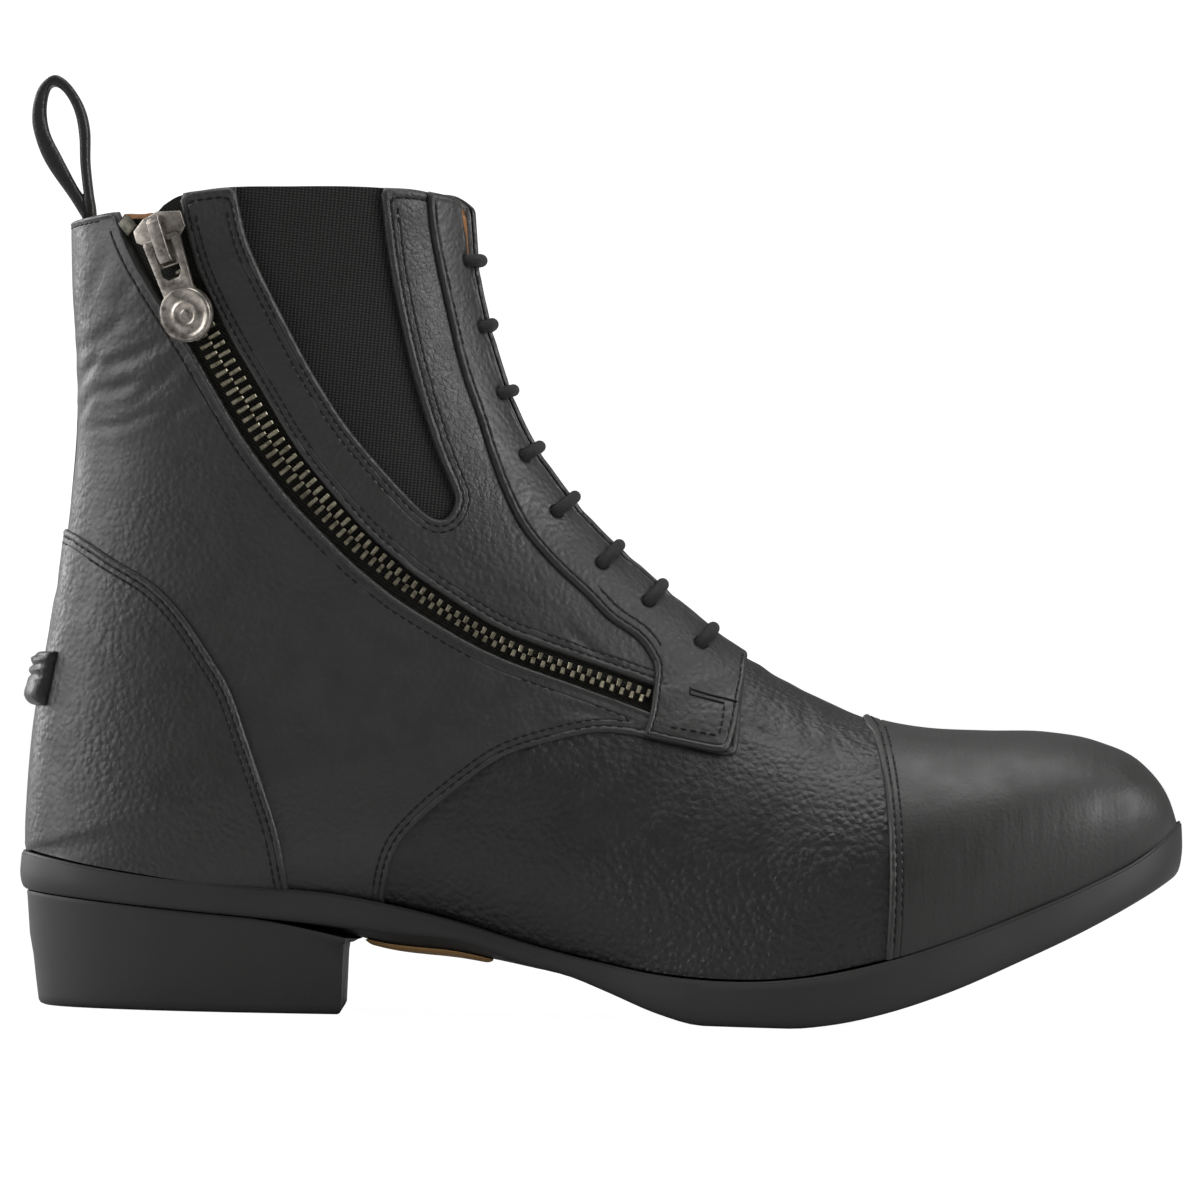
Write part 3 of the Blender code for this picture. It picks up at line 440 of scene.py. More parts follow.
def veg_leather(name, dark, light, pores):
    """Tan leather with cloudy colour, fine pores and fibres."""
    finish = Finish(name)
    cloud = finish.noise(55.0, 5.0, 0.65)
    holes = finish.node("TexVoronoi", {"Vector": finish.place(), "Scale": pores}).outputs["Distance"]
    finish.colour(cloud, dark, light)
    finish.gloss(cloud, 0.5, 0.72)
    finish.bump(finish.math("ADD", holes, finish.noise(pores * 2.4, 4.0)), 0.5, 0.00012)
    return finish.material


lining_leather = veg_leather("lining_leather", (0.26, 0.105, 0.028), (0.42, 0.19, 0.06), 1500.0)
waist_leather = veg_leather("waist_leather", (0.5, 0.27, 0.105), (0.68, 0.4, 0.17), 900.0)
count = 40
rows = []
for x in np.linspace(*WAIST_SPAN, count):
    half = WAIST_HALF - 2.4 * abs((x - WAIST_MIDDLE[0]) / 16.0) ** 3
    line = []
    for y in np.linspace(WAIST_MIDDLE[1] - half, WAIST_MIDDLE[1] + half, count):
        inner, outer = (np.interp(x, edge[:, 0], edge[:, 1]) for edge in FEATHER)
        share = np.clip((y - inner) / (outer - inner), 0, 1)
        edge = float(sole_height(x, 2))
        line.append((x, y, edge + (float(sole_height(x, 3)) - edge) * (1 - (2 * share - 1) ** 2) - 0.35))
    rows.append(line)
upper_side = np.array(rows)
rim = np.minimum.outer(np.minimum(np.arange(count), count - 1 - np.arange(count)), np.full(count, 99))
rim = np.minimum(rim, rim.T)
lower_side = upper_side.copy()
lower_side[..., 2] -= 0.25 + 0.65 * np.clip(rim / 2.0, 0, 1) ** 0.5
points = np.concatenate([upper_side.reshape(-1, 3), lower_side.reshape(-1, 3)])
faces = []
below = count * count
for i in range(count - 1):
    for j in range(count - 1):
        a = i * count + j
        faces.append((a, a + 1, a + count + 1, a + count))
        faces.append((a + below, a + below + count, a + below + count + 1, a + below + 1))
border = [(0, j) for j in range(count)] + [(i, count - 1) for i in range(1, count)]
border += [(count - 1, j) for j in range(count - 2, -1, -1)] + [(i, 0) for i in range(count - 2, 0, -1)]
border = [i * count + j for i, j in border]
for a, b in zip(border, border[1:] + border[:1]):
    faces.append((a, b, b + below, a + below))
piece("waist_cover", points, faces, waist_leather, "tan_leather", ["waist_panel"])

# ---------------------------------------------------------------- Insole
# A sheet of lining leather on cork, cut to the last and lying in the sole's tray inside the
# upper. Its edge is rounded over.
INSOLE_EDGE = ((6.1, 3.0), (5.75, 2.9), (5.6, 2.5), (5.6, 0.4), (5.8, 0.0))  # inset from the outline, height
rings = []
for by, rise in INSOLE_EDGE:
    ring = plan_ring(by, 90)
    rings.append(np.column_stack([ring, sole_height(ring[:, 0], 1) + FIT_GAP + rise]))
piece("insole_sheet", *stack(rings), lining_leather, "lining", ["insole"])

# ---------------------------------------------------------------- Upper
# The upper is cut from black full-grain leather: a vamp, two quarters lapped over it and joined
# at the back, a toe cap, a counter and two lace facings on top of them. Edges are folded in and
# stitched; the leather is about 1.2 mm thick and lined.
SECTIONS = (
    # front x, z, rear x, z, inner half width, outer half width, place of the widest, front power,
    # rear power, middle y, inner half gap of the throat, outer half gap
    (-36.0, 205.0, -139.0, 199.6, 34.5, 35.0, 0.50, 2.05, 2.10, 0.0, 10.2, 6.6),
    (-33.8, 186.0, -138.2, 183.5, 34.0, 34.5, 0.50, 2.05, 2.10, 0.0, 9.9, 6.5),
    (-28.6, 167.0, -136.8, 165.0, 33.0, 33.5, 0.50, 2.05, 2.10, 0.0, 9.6, 6.4),
    (-21.3, 149.6, -136.4, 146.0, 32.0, 32.6, 0.50, 2.05, 2.10, 0.0, 9.0, 6.2),
    (-11.4, 135.0, -137.6, 127.0, 31.5, 32.0, 0.50, 2.05, 2.15, 0.0, 8.4, 6.0),
    (-1.2, 123.6, -139.3, 109.0, 31.5, 32.2, 0.50, 2.05, 2.20, 0.0, 8.0, 5.8),
    (9.0, 114.6, -142.2, 90.0, 32.4, 33.0, 0.50, 2.10, 2.30, 0.0, 7.6, 5.6),
    (17.4, 107.4, -144.9, 71.6, 33.6, 34.4, 0.50, 2.10, 2.40, 0.0, 7.0, 5.4),
    (22.6, 103.2, -145.9, 57.5, 34.6, 35.6, 0.50, 2.10, 2.48, 0.0, 6.4, 5.1),
    (26.4, 100.1, -146.3, 47.0, 35.3, 36.2, 0.50, 2.10, 2.55, 0.0, 5.7, 4.8),
    (29.5, 97.6, -146.2, 41.4, 35.8, 36.8, 0.50, 2.10, 2.60, 0.0, 5.0, 4.4),
    (32.0, 95.7, -146.2, 40.2, 36.1, 37.3, 0.50, 2.10, 2.60, 0.0, 4.2, 3.8),
    (34.3, 94.0, -144.8, 39.9, 36.3, 37.8, 0.50, 2.10, 2.60, 0.0, 3.2, 3.0),
    (36.8, 92.4, -140.0, 38.6, 36.4, 38.5, 0.50, 2.10, 2.60, 0.0, 1.8, 1.8),
    (39.6, 91.0, -127.5, 36.4, 36.5, 39.6, 0.50, 2.10, 2.60, 0.2, 0.0, 0.0),
    (43.4, 88.4, -106.0, 33.7, 36.6, 41.2, 0.51, 2.10, 2.55, 0.6, 0.0, 0.0),
    (48.0, 86.2, -78.0, 31.8, 36.8, 43.4, 0.53, 2.10, 2.48, 1.0, 0.0, 0.0),
    (52.6, 84.0, -48.0, 27.6, 37.6, 45.8, 0.57, 2.10, 2.40, 1.4, 0.0, 0.0),
    (58.2, 81.5, -16.0, 19.1, 40.6, 48.8, 0.61, 2.10, 2.30, 1.9, 0.0, 0.0),
    (65.0, 78.6, 16.0, 12.9, 44.6, 51.8, 0.66, 2.10, 2.20, 2.2, 0.0, 0.0),
    (73.4, 76.1, 44.0, 12.4, 48.6, 52.4, 0.70, 2.10, 2.20, 2.2, 0.0, 0.0),
    (84.0, 74.7, 66.0, 16.4, 49.4, 50.8, 0.72, 2.15, 2.20, 1.6, 0.0, 0.0),
    (98.5, 74.4, 88.0, 23.2, 46.4, 46.8, 0.72, 2.20, 2.20, 0.8, 0.0, 0.0),
    (114.0, 74.4, 108.0, 31.2, 40.6, 40.2, 0.70, 2.25, 2.20, -0.4, 0.0, 0.0),
    (126.6, 72.3, 124.0, 38.1, 34.0, 31.0, 0.68, 2.30, 2.20, -2.0, 0.0, 0.0),
    (137.2, 67.4, 136.0, 44.4, 26.6, 20.8, 0.64, 2.30, 2.20, -3.6, 0.0, 0.0),
    (144.0, 59.0, 143.6, 48.9, 16.6, 8.4, 0.60, 2.20, 2.20, -4.8, 0.0, 0.0),
    (146.6, 51.6, 146.6, 51.0, 5.2, -5.2, 0.55, 2.00, 2.00, -5.2, 0.0, 0.0),
)
HEEL_CORNER_ROW = 11
THROAT_END_ROW = 14
COLLAR = (
    # x, height of the top line
    (-140.0, 200.4), (-128.0, 202.4), (-117.0, 203.2), (-111.5, 206.6), (-104.0, 208.2),
    (-81.0, 209.6), (-60.0, 210.0), (-48.0, 209.5), (-40.0, 207.2), (-35.4, 203.0),
)
KNOTS = np.concatenate([[0], np.cumsum([
    (math.dist(a[:2], b[:2]) + math.dist(a[2:4], b[2:4])) / 2
    for a, b in zip(SECTIONS, SECTIONS[1:])
])])
KNOTTED = [(knot, *row) for knot, row in zip(KNOTS, SECTIONS)]
HEEL_CORNER = KNOTS[HEEL_CORNER_ROW]
THROAT_END = KNOTS[THROAT_END_ROW]
TOE = KNOTS[-1]


def reach(side, x):
    """The sole's top edge on one side, as a distance from y = 0."""
    line = FEATHER[0 if side < 0 else 1]
    return side * np.interp(x, line[:, 0], line[:, 1])


def skin(s, v, side, throat=True):
    """The upper's outer face in mm: s from the collar to the toe, v from the front ridge to the back or the sole."""
    s, v = np.broadcast_arrays(np.asarray(s, float), np.asarray(v, float))
    front_x, front_z, rear_x, rear_z, inner, outer, at, n1, n2, mid, gap_in, gap_out = (
        curve(KNOTTED, s, k + 1) for k in range(12)
    )
    tip = np.clip((TOE - s) / 0.01, 0, 1)
    foot = np.where(s > HEEL_CORNER, reach(side, rear_x) - side * mid, 0.0)
    wide = np.maximum(inner + mid if side < 0 else outer - mid, foot + 0.7) * tip
    foot = np.clip(foot, 0, None) * tip
    gap = np.where((s < THROAT_END) & throat, np.clip(gap_in if side < 0 else gap_out, 0, None), 0.0)
    ratio = 1 / np.maximum(wide, 1e-6)
    start = np.arcsin(np.clip(gap * ratio, 0, 1) ** (n1 / 2))
    theta = start + (np.pi / 2 - start) * np.clip(2 * v, 0, 1)
    last = np.arccos(np.clip(foot * ratio, 0, 1) ** (n2 / 2))
    length = (1 - at) / np.maximum(np.sin(last) ** (2 / n2), 1e-6)
    phi = last * np.clip(2 * v - 1, 0, 1)
    ahead = v <= 0.5
    share = np.where(ahead, at * (1 - np.cos(theta) ** (2 / n1)), at + length * np.sin(phi) ** (2 / n2))
    out = wide * np.where(ahead, np.sin(theta) ** (2 / n1), np.cos(phi) ** (2 / n2))
    x = front_x + (rear_x - front_x) * share
    z = front_z + (rear_z - front_z) * share
    first = SECTIONS[0]
    level = first[1] + (first[3] - first[1]) * (x - first[0]) / (first[2] - first[0])
    z = z + (curve(COLLAR, x) - level) * np.clip(1 - s / 34.0, 0, 1) ** 2
    if side > 0:
        rise = 2.0 * np.clip((x + 62.0) / 20.0, 0, 1) + 2.6 * np.exp(-(((x + 116.0) / 9.0) ** 2))
        z = z + rise * np.clip(out / 6.0, 0, 1) * np.clip(1 - s / 24.0, 0, 1) ** 2
    return np.stack([x, mid + side * out, z], -1)


def spot(x, z, side):
    """The point of the surface seen at x, z from one side, and its outward normal."""
    s, v = np.meshgrid(np.linspace(0.5, TOE - 0.5, 240), np.linspace(0, 1, 120), indexing="ij")
    seen = skin(s, v, side, False)
    best = np.argmin((seen[..., 0] - x) ** 2 + (seen[..., 2] - z) ** 2)
    s, v = s.flat[best], v.flat[best]
    for _ in range(12):
        here = skin(s, v, side, False)
        ds = (skin(s + 0.05, v, side, False) - here) / 0.05
        dv = (skin(s, v + 0.0005, side, False) - here) / 0.0005
        grid = np.array([[ds[0], dv[0]], [ds[2], dv[2]]])
        move = np.linalg.lstsq(grid, np.array([x - here[0], z - here[2]]), rcond=None)[0]
        s = float(np.clip(s + np.clip(move[0], -4, 4), 0, TOE))
        v = float(np.clip(v + np.clip(move[1], -0.04, 0.04), 0, 0.999))
    normal = np.cross(ds, dv) * -side
    normal /= np.linalg.norm(normal)
    return here, normal if normal[1] * side > 0 else -normal


TOE_CAP_SEAM = (
    (66.5, 90.0), (66.6, 78.0), (68.9, 73.4), (70.9, 63.8), (72.2, 52.1), (72.7, 40.3),
    (72.6, 28.2), (72.2, 18.0), (72.2, 5.0),
)
COUNTER_SEAM = (
    (-156.0, 128.0), (-138.5, 122.0), (-125.1, 114.3), (-115.0, 108.3), (-107.6, 101.1),
    (-100.1, 90.6), (-94.6, 81.7), (-89.6, 68.6), (-84.4, 54.3), (-81.5, 45.5), (-79.2, 34.5),
    (-77.6, 24.0),
)
FACING_EDGE = (
    (-48.6, 216.0), (-48.3, 208.9), (-47.0, 198.3), (-42.6, 179.6), (-38.6, 164.4),
    (-34.2, 152.4), (-30.9, 142.9), (-26.8, 133.1), (-21.8, 124.1), (-14.3, 115.5),
    (-5.4, 107.5), (0.5, 101.7), (7.8, 96.7), (11.5, 92.0), (12.6, 88.2), (11.7, 78.6),
    (10.0, 72.2), (18.2, 70.5), (28.6, 68.6), (31.6, 69.2), (33.6, 76.0), (34.9, 84.0), (35.9, 91.0),
    (36.4, 99.0), (36.0, 130.0), (-20.0, 216.0),
)
GUSSET = (
    (-95.9, 218.0), (-95.9, 207.2), (-92.2, 193.8), (-82.3, 174.4), (-74.7, 161.1),
    (-65.9, 148.3), (-54.8, 135.9), (-47.3, 128.5), (-43.3, 126.2), (-40.4, 127.2),
    (-38.7, 131.3), (-40.1, 135.5), (-44.5, 145.8), (-50.4, 164.1), (-56.0, 187.5),
    (-59.3, 208.7), (-59.6, 218.0),
)
ZIP = (
    # x, z, opening below the teeth, opening above the teeth
    (-118.9, 216.0, 10.6, 7.0),
    (-116.8, 203.4, 9.4, 6.8),
    (-113.2, 192.3, 7.8, 6.0),
    (-109.8, 184.9, 6.6, 5.2),
    (-102.2, 170.9, 5.2, 4.7),
    (-93.9, 157.2, 5.1, 4.8),
    (-89.6, 150.4, 5.2, 4.7),
    (-85.0, 143.8, 5.1, 4.3),
    (-79.8, 137.5, 5.1, 3.8),
    (-74.6, 131.6, 5.1, 3.6),
    (-69.1, 125.8, 4.7, 3.4),
    (-63.5, 120.1, 4.6, 3.2),
    (-57.4, 115.0, 4.6, 3.1),
    (-51.2, 110.0, 4.4, 3.0),
    (-44.4, 105.4, 4.0, 3.1),
    (-37.6, 101.2, 3.7, 3.1),
    (-30.7, 97.2, 3.4, 3.0),
    (-23.3, 93.7, 3.1, 3.1),
    (-15.7, 91.0, 3.0, 3.3),
    (-8.1, 88.6, 3.1, 3.2),
    (-0.5, 86.2, 3.3, 3.2),
    (10.5, 82.6, 3.4, 3.2),
    (16.0, 80.6, 3.4, 3.2),
)
QUARTER_SEAM = (
    (-55.6, 12.0), (-54.4, 30.0), (-51.7, 42.0), (-45.6, 50.0), (-35.8, 58.6), (-24.7, 66.5), (-10.8, 71.1),
    (-0.8, 73.1), (8.5, 72.4), (18.2, 70.5), (31.4, 68.2), (34.0, 69.8), (35.1, 81.4), (35.9, 91.0),
    (36.4, 104.0),
)
LACE_HOLES = (
    # x, z
    (-38.6, 192.6), (-34.5, 175.4), (-29.2, 158.6), (-22.6, 142.5), (-14.1, 128.4),
    (-2.1, 115.3), (9.9, 105.9), (23.6, 95.5),
)

ZIP_RUN = run_of(np.array(ZIP)[:, :2])
ZIP_TABLE = [(run, *row) for run, row in zip(ZIP_RUN, ZIP)]


def zip_outline():
    """The zip's opening seen from the side, its lower edge down the boot and its upper edge back up, and the line
    and direction of its teeth."""
    at = np.linspace(0.0, ZIP_RUN[-1], 34)
    centre = np.stack([curve(ZIP_TABLE, at, 1), curve(ZIP_TABLE, at, 2)], 1)
    tangent = np.gradient(centre, axis=0)
    tangent /= np.linalg.norm(tangent, axis=1)[:, None]
    left = np.stack([tangent[:, 1], -tangent[:, 0]], 1)
    low, high = curve(ZIP_TABLE, at, 3), curve(ZIP_TABLE, at, 4)
    return np.concatenate([centre + left * low[:, None], (centre - left * high[:, None])[::-1]]), centre, tangent


def smooth_line(points, per=8):
    """A dense open curve through side-view points."""
    p = np.array(points, float)
    p = np.concatenate([[2 * p[0] - p[1]], p, [2 * p[-1] - p[-2]]])
    t = np.linspace(0, 1, per, endpoint=False)[:, None]
    out = []
    for i in range(1, len(p) - 2):
        a, b, c, d = p[i - 1], p[i], p[i + 1], p[i + 2]
        out.append(bend(t, b, (c - a) / 2, c, (d - b) / 2))
    return np.concatenate([*out, p[-2:-1]])


def depth_in(places, ring):
    """How far side-view points lie inside a closed outline, in mm. Negative outside."""
    ring = np.asarray(ring, float)
    far = np.full(len(places), 1e9)
    odd = np.zeros(len(places), bool)
    for a, b in zip(ring, np.roll(ring, -1, 0)):
        along_edge = b - a
        t = np.clip((places - a) @ along_edge / max(along_edge @ along_edge, 1e-9), 0, 1)
        far = np.minimum(far, np.hypot(*(places - a - t[:, None] * along_edge).T))
        if a[1] != b[1]:
            crosses = (a[1] > places[:, 1]) != (b[1] > places[:, 1])
            odd ^= crosses & (places[:, 0] < a[0] + (places[:, 1] - a[1]) / (b[1] - a[1]) * (b[0] - a[0]))
    return np.where(odd, far, -far)


def outward(s, v, side, throat):
    """Unit normals of the skin at many places."""
    s0, s1 = np.clip(s - 0.4, 0, TOE - 0.05), np.clip(s + 0.4, 0.8, TOE)
    v0, v1 = np.clip(v - 0.004, 0, 1), np.clip(v + 0.004, 0, 1)
    ds = skin(s1, v, side, throat) - skin(s0, v, side, throat)
    dv = skin(s, v1, side, throat) - skin(s, v0, side, throat)
    normal = np.cross(ds, dv) * side
    closed_front = (v < 1e-6) & ((s >= THROAT_END) | (not throat))
    closed_back = (v > 1 - 1e-6) & (s <= HEEL_CORNER)
    normal[closed_front | closed_back, 1] = 0
    return normal / np.maximum(np.linalg.norm(normal, axis=1), 1e-9)[:, None]


def split(places, values, faces, level):
    """Cuts faces along one level of their corners' values, so that edges follow it."""
    mark = np.where(np.abs(values - level) < 0.04, 0, np.sign(values - level)).astype(int).tolist()
    spots = places.tolist()
    held = values.tolist()
    made, out = {}, []
    for face in faces:
        marks = [mark[k] for k in face]
        if min(marks) >= 0 or max(marks) <= 0:
            out.append(face)
            continue
        ring = []
        for a, b in zip(face, face[1:] + face[:1]):
            ring.append(a)
            if mark[a] * mark[b] < 0:
                key = (a, b) if a < b else (b, a)
                if key not in made:
                    t = (level - held[key[0]]) / (held[key[1]] - held[key[0]])
                    p, q = spots[key[0]], spots[key[1]]
                    made[key] = len(spots)
                    spots.append([p[0] + (q[0] - p[0]) * t, p[1] + (q[1] - p[1]) * t])
                    held.append(level)
                    mark.append(0)
                ring.append(made[key])
        for sign in (1, -1):
            part = [k for k in ring if mark[k] * sign >= 0]
            if len(part) > 2:
                out.append(part)
    return np.array(spots), np.array(held), out


stitch_rows = []


def panel(name, goes, sides_of, depth, top, under, levels, s_range, v_range, step, rows=(), wanted=None, throat=True):
    """A leather panel cut out of the skin where depth is positive, with edges along the levels of depth. goes holds
    its material, a slot name that is not used, and node. top is the outer face's height over the skin, and under the
    inner one's."""
    all_points, all_faces = [], []
    for side in sides_of:
        s_lines = np.arange(s_range[0], s_range[1] + step / 2, step)
        s_lines[-1] = s_range[1]
        v_lines = np.linspace(v_range[0], v_range[1], v_range[2] + 1)
        s, v = np.meshgrid(s_lines, v_lines, indexing="ij")
        places = np.stack([s.ravel(), v.ravel()], 1)
        values = depth(skin(places[:, 0], places[:, 1], side, throat), places, side)
        index = np.arange(len(places)).reshape(s.shape)
        quads = np.stack([index[:-1, :-1], index[:-1, 1:], index[1:, 1:], index[1:, :-1]], -1).reshape(-1, 4)
        quads = quads[values[quads].max(1) > -0.01]
        near = values[quads].min(1) < max(levels) + 0.1
        inner_faces = quads[~near].tolist()
        faces = quads[near].tolist()
        for level in sorted(levels):
            places, values, faces = split(places, values, faces, level)
            if level == min(levels):
                faces = [f for f in faces if sum(values[k] for k in f) / len(f) > level + 1e-6]
        faces = faces + inner_faces
        used = np.unique(np.concatenate([np.array(f) for f in faces]))
        new = np.full(len(places), -1)
        new[used] = np.arange(len(used))
        new = new.tolist()
        faces = [[new[k] for k in f] for f in faces]
        places, values = places[used], values[used]
        if side > 0:
            faces = [f[::-1] for f in faces]
        base = skin(places[:, 0], places[:, 1], side, throat)
        normal = outward(places[:, 0], places[:, 1], side, throat)
        over = base + normal * top(values, base, places, side)[:, None]
        beneath = base + normal * under
        for level in rows:
            on = np.abs(values - level) < 1e-6
            links = {}
            for f in faces:
                for a, b in zip(f, f[1:] + f[:1]):
                    if on[a] and on[b]:
                        links.setdefault(a, set()).add(b)
                        links.setdefault(b, set()).add(a)
            for chain in trace(links):
                stitch_rows.append((over[chain], normal[chain], base[chain], side, name, level, wanted))
        edges = {(a, b) for f in faces for a, b in zip(f, f[1:] + f[:1])}
        start = sum(len(p) for p in all_points)
        n = len(base)
        all_points.append(np.concatenate([over, beneath]))
        all_faces += [[k + start for k in f] for f in faces]
        all_faces += [[k + n + start for k in f[::-1]] for f in faces]
        for a, b in edges:
            if (b, a) in edges:
                continue
            (s_a, v_a), (s_b, v_b) = places[a], places[b]
            at_front = v_a == v_b == 0 and v_range[0] == 0 and (not throat or min(s_a, s_b) >= THROAT_END - 1e-6)
            at_back = v_a == v_b == 1 and v_range[1] == 1 and max(s_a, s_b) <= HEEL_CORNER + 1e-6
            halves_meet = len(sides_of) == 2 and abs(base[a][1] - base[b][1]) < 1e-3 and (at_front or at_back)
            if not halves_meet:
                all_faces.append([b + start, a + start, a + n + start, b + n + start])
    points = np.concatenate(all_points)
    if len(sides_of) == 2:
        points, all_faces = weld(points, all_faces)
    piece(name, points, all_faces, *goes)


def trace(links):
    """Chains of linked corners, each as a list."""
    links = {k: set(v) for k, v in links.items()}
    chains = []
    ends = [k for k, v in links.items() if len(v) == 1]
    for first in ends + list(links):
        while links.get(first):
            chain = [first]
            while links.get(chain[-1]):
                following = links[chain[-1]].pop()
                links[following].discard(chain[-1])
                chain.append(following)
            if len(chain) > 2:
                chains.append(chain)
    return chains


def weld(points, faces):
    """Points that coincide made one, with what collapsed left out."""
    _, first, index = np.unique(np.round(points, 3), axis=0, return_index=True, return_inverse=True)
    index = index.reshape(-1).tolist()
    kept = []
    for face in faces:
        ring = []
        for k in face:
            k = index[k]
            if k not in ring:
                ring.append(k)
        if len(ring) > 2:
            kept.append(ring)
    return points[first], kept


CREASES = [
    # x, z, lean in degrees, half length, half width, depth, side (0 for both)
    (-128.0, 172.0, 38.0, 12.0, 1.5, 0.40, 0), (-121.0, 166.0, 24.0, 14.0, 1.4, 0.42, 0),
    (-114.0, 160.0, 40.0, 13.0, 1.3, 0.34, 0), (-126.0, 158.0, 12.0, 11.0, 1.2, 0.32, 0),
    (-132.0, 164.0, 55.0, 9.0, 1.2, 0.30, 0), (-108.0, 153.0, 30.0, 10.0, 1.2, 0.26, 0),
    (-118.0, 151.0, 20.0, 12.0, 1.1, 0.24, 0), (-127.0, 148.0, 5.0, 10.0, 1.1, 0.22, 0),
    (-131.0, 186.0, 72.0, 10.0, 1.6, 0.26, 0), (-124.0, 181.0, 62.0, 9.0, 1.4, 0.20, 0),
    (-6.0, 96.0, -38.0, 9.0, 1.1, 0.30, 0), (2.0, 90.0, -30.0, 8.0, 1.0, 0.26, 0),
    (-4.0, 78.0, -12.0, 9.0, 1.2, 0.22, 0), (9.0, 78.5, -24.0, 6.0, 0.9, 0.22, 0),
    (46.0, 84.0, -8.0, 7.0, 1.5, 0.16, 0), (52.0, 76.0, -80.0, 10.0, 1.6, 0.18, 0),
]
FINE_CREASES = (
    # how many, and the ranges of x, z, lean, half length, half width and depth
    (34, (-138, -96), (146, 180), (5, 68), (3, 8), (0.7, 1.1), (0.10, 0.24)),
    (22, (-144, -122), (92, 118), (70, 108), (3, 7), (0.6, 0.9), (0.08, 0.18)),
    (18, (-20, 24), (76, 118), (-64, -8), (3, 6), (0.6, 0.9), (0.08, 0.16)),
    (12, (38, 46), (66, 86), (-64, -20), (3, 6), (0.8, 1.1), (0.12, 0.2)),
)
rng = np.random.default_rng(41)
for count, *ranges in FINE_CREASES:
    for number in range(count):
        CREASES.append((*[rng.uniform(*between) for between in ranges], int(rng.integers(-1, 2))))
SWELLS = rng.uniform(0, 2 * np.pi, (7, 2))


def relief(base, side):
    """The leather's own creases and slow waves, in mm."""
    x, z = base[:, 0], base[:, 2]
    height = np.zeros(len(x))
    for k, (p, q) in enumerate(SWELLS):
        pitch = 34.0 + 11.0 * k
        lean = 0.7 * k + (0.4 if side > 0 else 0.0)
        wave = 0.07 * np.sin(2 * np.pi * (x * np.cos(lean) + z * np.sin(lean)) / pitch + p)
        height += wave * np.cos(2 * np.pi * base[:, 1] / 90 + q)
    for cx, cz, lean, half, width, depth, which in CREASES:
        if which and which != side:
            continue
        lean = math.radians(lean)
        a = (x - cx) * math.cos(lean) + (z - cz) * math.sin(lean)
        b = (z - cz) * math.cos(lean) - (x - cx) * math.sin(lean) - 0.012 * a * a * math.sin(cx * 7)
        fade = np.where(np.abs(a) < half, (1 - np.clip(np.abs(a) / half, 0, 1) ** 2) ** 2, 0)
        shoulders = 0.45 * np.exp(-(((np.abs(b) - 2.1 * width) / (1.2 * width)) ** 2))
        height -= 1.5 * depth * fade * (np.exp(-((b / width) ** 2)) - shoulders)
    return height


def rounded(depth, radius):
    """How far an edge has risen at a depth inside it, from 0 to 1, as a quarter round."""
    return np.sqrt(np.clip(1 - (1 - np.clip(depth / radius, 0, 1)) ** 2, 0, 1))


def folded(depth, thick, rows, shares=(1.0, 1.0)):
    """The height of a folded and stitched edge over its inner face. shares fade the groove of each row."""
    height = thick * (0.28 + 0.72 * rounded(depth, FOLD_RADIUS)) + 0.2 * np.exp(-(((depth - 0.8) / 0.42) ** 2))
    for row, share in zip(rows, shares):
        height = height - share * GROOVE_DEPTH * np.clip(1 - np.abs(depth - row) / GROOVE_HALF, 0, 1)
    return height


